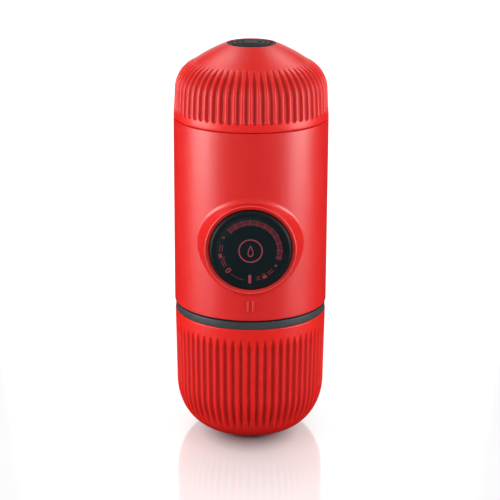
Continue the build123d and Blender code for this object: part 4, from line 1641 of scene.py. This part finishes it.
@dataclass(frozen=True)
class Studio:
    """A pale floor, soft lamps and the camera."""

    aim_height: float = 72.6 * MM
    camera_distance: float = 695.8 * MM
    camera_elevation: float = 17.235
    camera_roll: float = 0.23
    camera_pan: float = 0.018
    camera_reach: Point = (0.01, 20.0)
    lens: float = 126.6
    sensor: float = 36.0
    floor_size: float = 4.0
    floor_grey: Colour = (0.28, 0.28, 0.28)
    floor_deep: Colour = (0.26, 0.26, 0.26)
    floor_roughness: float = 0.08
    floor_index: float = 2.2
    mottle: Noise = Noise(50.0 * MM)
    mottle_tone: float = 0.1
    mottle_dulling: float = 0.03
    # The glow's stops leave it out round the maker, shifted to the front: painted shadow on the
    # floor.
    glow_width: float = 1.3
    painted_shadow_shift: float = 8.0 * MM
    glow_scale: float = 2.0
    glow_with_painted_shadow: tuple[Point, ...] = (
        (0.020, 0.0),
        (0.032, 0.13),
        (0.052, 0.44),
        (0.072, 0.525),
        (0.134, 0.655),
        (0.25, 0.75),
        (1.0, 0.85),
    )
    ambient: float = 0.24
    softboxes: tuple[Softbox, ...] = (
        Softbox("left_softbox", -73, 9, 0.50, 0.34, 0.34, 2.26),
        Softbox("right_softbox", 73.5, 9, 0.50, 0.305, 0.34, 1.92),
        Softbox("left_upper_softbox", -145, 58, 0.60, 0.18, 0.24, 0.42),
        Softbox("right_upper_softbox", 144, 48, 0.60, 0.16, 0.24, 0.36),
    )
    fills: tuple[Fill, ...] = (
        Fill("front_fill", 0, 4, 1.0, 100, 1.25),
        Fill("top_fill", 180, 70, 1.0, 120, 0.5),
        Fill("back_fill", 180, 10, 1.0, 100, 0.5),
    )
    cards: tuple[DarkCard, ...] = (
        DarkCard("front_card", 0, 12, 0.11, 0.34, 0.36),
        DarkCard("left_back_card", -125, 8, 0.40, 0.56, 0.44),
        DarkCard("right_back_card", 125, 8, 0.40, 0.56, 0.44),
        DarkCard("top_card", 180, 74, 0.30, 0.12, 0.24),
        DarkCard("left_high_card", -153, 33, 0.525, 0.22, 0.20),
        DarkCard("right_high_card", 153, 33, 0.525, 0.22, 0.20),
        DarkCard("floor_mat", 0, -90, 0.072, 1.10, 1.10),
    )

    @property
    def aim(self) -> Vector:
        """The maker's middle, which the camera and the lamps face."""
        return Vector((0.0, 0.0, self.aim_height))

    def camera(self) -> None:
        """Adds the camera and makes it the scene's."""
        data = bpy.data.cameras.new("view")
        data.lens, data.sensor_width = self.lens, self.sensor
        data.clip_start, data.clip_end = self.camera_reach
        made = bpy.data.objects.new("view", data)
        e = math.radians(self.camera_elevation)
        back = Vector((0.0, -math.cos(e), math.sin(e)))
        turn = (-back).to_track_quat("-Z", "Y").to_matrix().to_4x4()
        pan = Matrix.Rotation(math.radians(self.camera_pan), 4, "Y")
        roll = Matrix.Rotation(math.radians(self.camera_roll), 4, "Z")
        place = Matrix.Translation(self.aim + back * self.camera_distance)
        made.matrix_world = place @ turn @ pan @ roll
        bpy.context.scene.collection.objects.link(made)
        bpy.context.scene.camera = made
        LOG.info("camera in place")

    @staticmethod
    def seen(graph: Graph) -> Signal:
        """Tells the rays that see or mirror a surface from those that only light it.

        Args:
            graph: The graph to add to.

        Returns:
            One for the first and nought for the others.
        """
        rays = graph.node("LightPath").outputs
        camera, glossy, through = (
            Signal(graph, rays[f"Is {kind} Ray"]) for kind in ("Camera", "Glossy", "Transmission")
        )
        return graph.math("MAXIMUM", graph.math("MAXIMUM", camera, glossy), through)

    def floor(self) -> None:
        """Adds the floor, which is white to the camera and keeps shadows and a faint mirror image.

        Its glow fades out round the maker, more to the front, which paints shadow over the real
        one.
        """
        half = self.floor_size / 2
        corners = np.array(
            ((-half, -half, 0.0), (half, -half, 0.0), (half, half, 0.0), (-half, half, 0.0))
        )
        made = link_mesh("floor", corners, [[0, 1, 2, 3]], smooth=False)
        material, graph = new_material("floor_white")
        across, along, _ = graph.axes()
        # Painted shadow: the glow is left out round the maker, shifted towards its front.
        reach = ((across * self.glow_width) ** 2 + (along + self.painted_shadow_shift) ** 2) ** 0.5
        glow_with_painted_shadow = graph.steps(reach * self.glow_scale, *self.glow_with_painted_shadow)
        mottle = graph.noise(self.mottle)
        tone = mottle * self.mottle_tone
        graph.finish(
            graph.surface(
                Base_Color=graph.mix(tone, self.floor_grey, self.floor_deep),
                Roughness=self.floor_roughness + mottle * self.mottle_dulling,
                Specular_IOR_Level=1.0,
                IOR=self.floor_index,
                Emission_Color=graph.mix(self.seen(graph) * glow_with_painted_shadow, (0, 0, 0), (1, 1, 1)),
                Emission_Strength=1.0,
            )
        )
        made.data.materials.append(material)
        LOG.info("floor")

    def world(self) -> None:
        """Makes the air white wherever it is seen or mirrored, and a dimmer white as light."""
        world = bpy.data.worlds.new("studio_air")
        world.use_nodes = True
        bpy.context.scene.world = world
        graph = Graph(world.node_tree)
        strength = self.ambient + self.seen(graph) * (1 - self.ambient)
        values = {"Color": (1, 1, 1, 1), "Strength": strength}
        graph.finish(graph.get("Background", None, values), kind="OutputWorld")

    def build(self) -> None:
        """Builds the studio."""
        bpy.context.scene.view_settings.view_transform = "Standard"
        self.camera()
        self.floor()
        self.world()
        for thing in (*self.softboxes, *self.fills, *self.cards):
            thing.build(self.aim)


def main() -> Callable[[], None]:
    """Loads the frame, builds the studio and every sub-assembly.
    """
    logging.basicConfig(level=logging.INFO, format="%(name)s: %(message)s")
    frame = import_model()
    Studio().build()
    for assembly in (Tank, Body, Pump, Dial, BrewEnd, Cup):
        assembly(frame).build()

    def write_sizes() -> None:
        """Updates the view layer."""
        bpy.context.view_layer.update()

    return write_sizes


if __name__ == "__main__":
    main()()
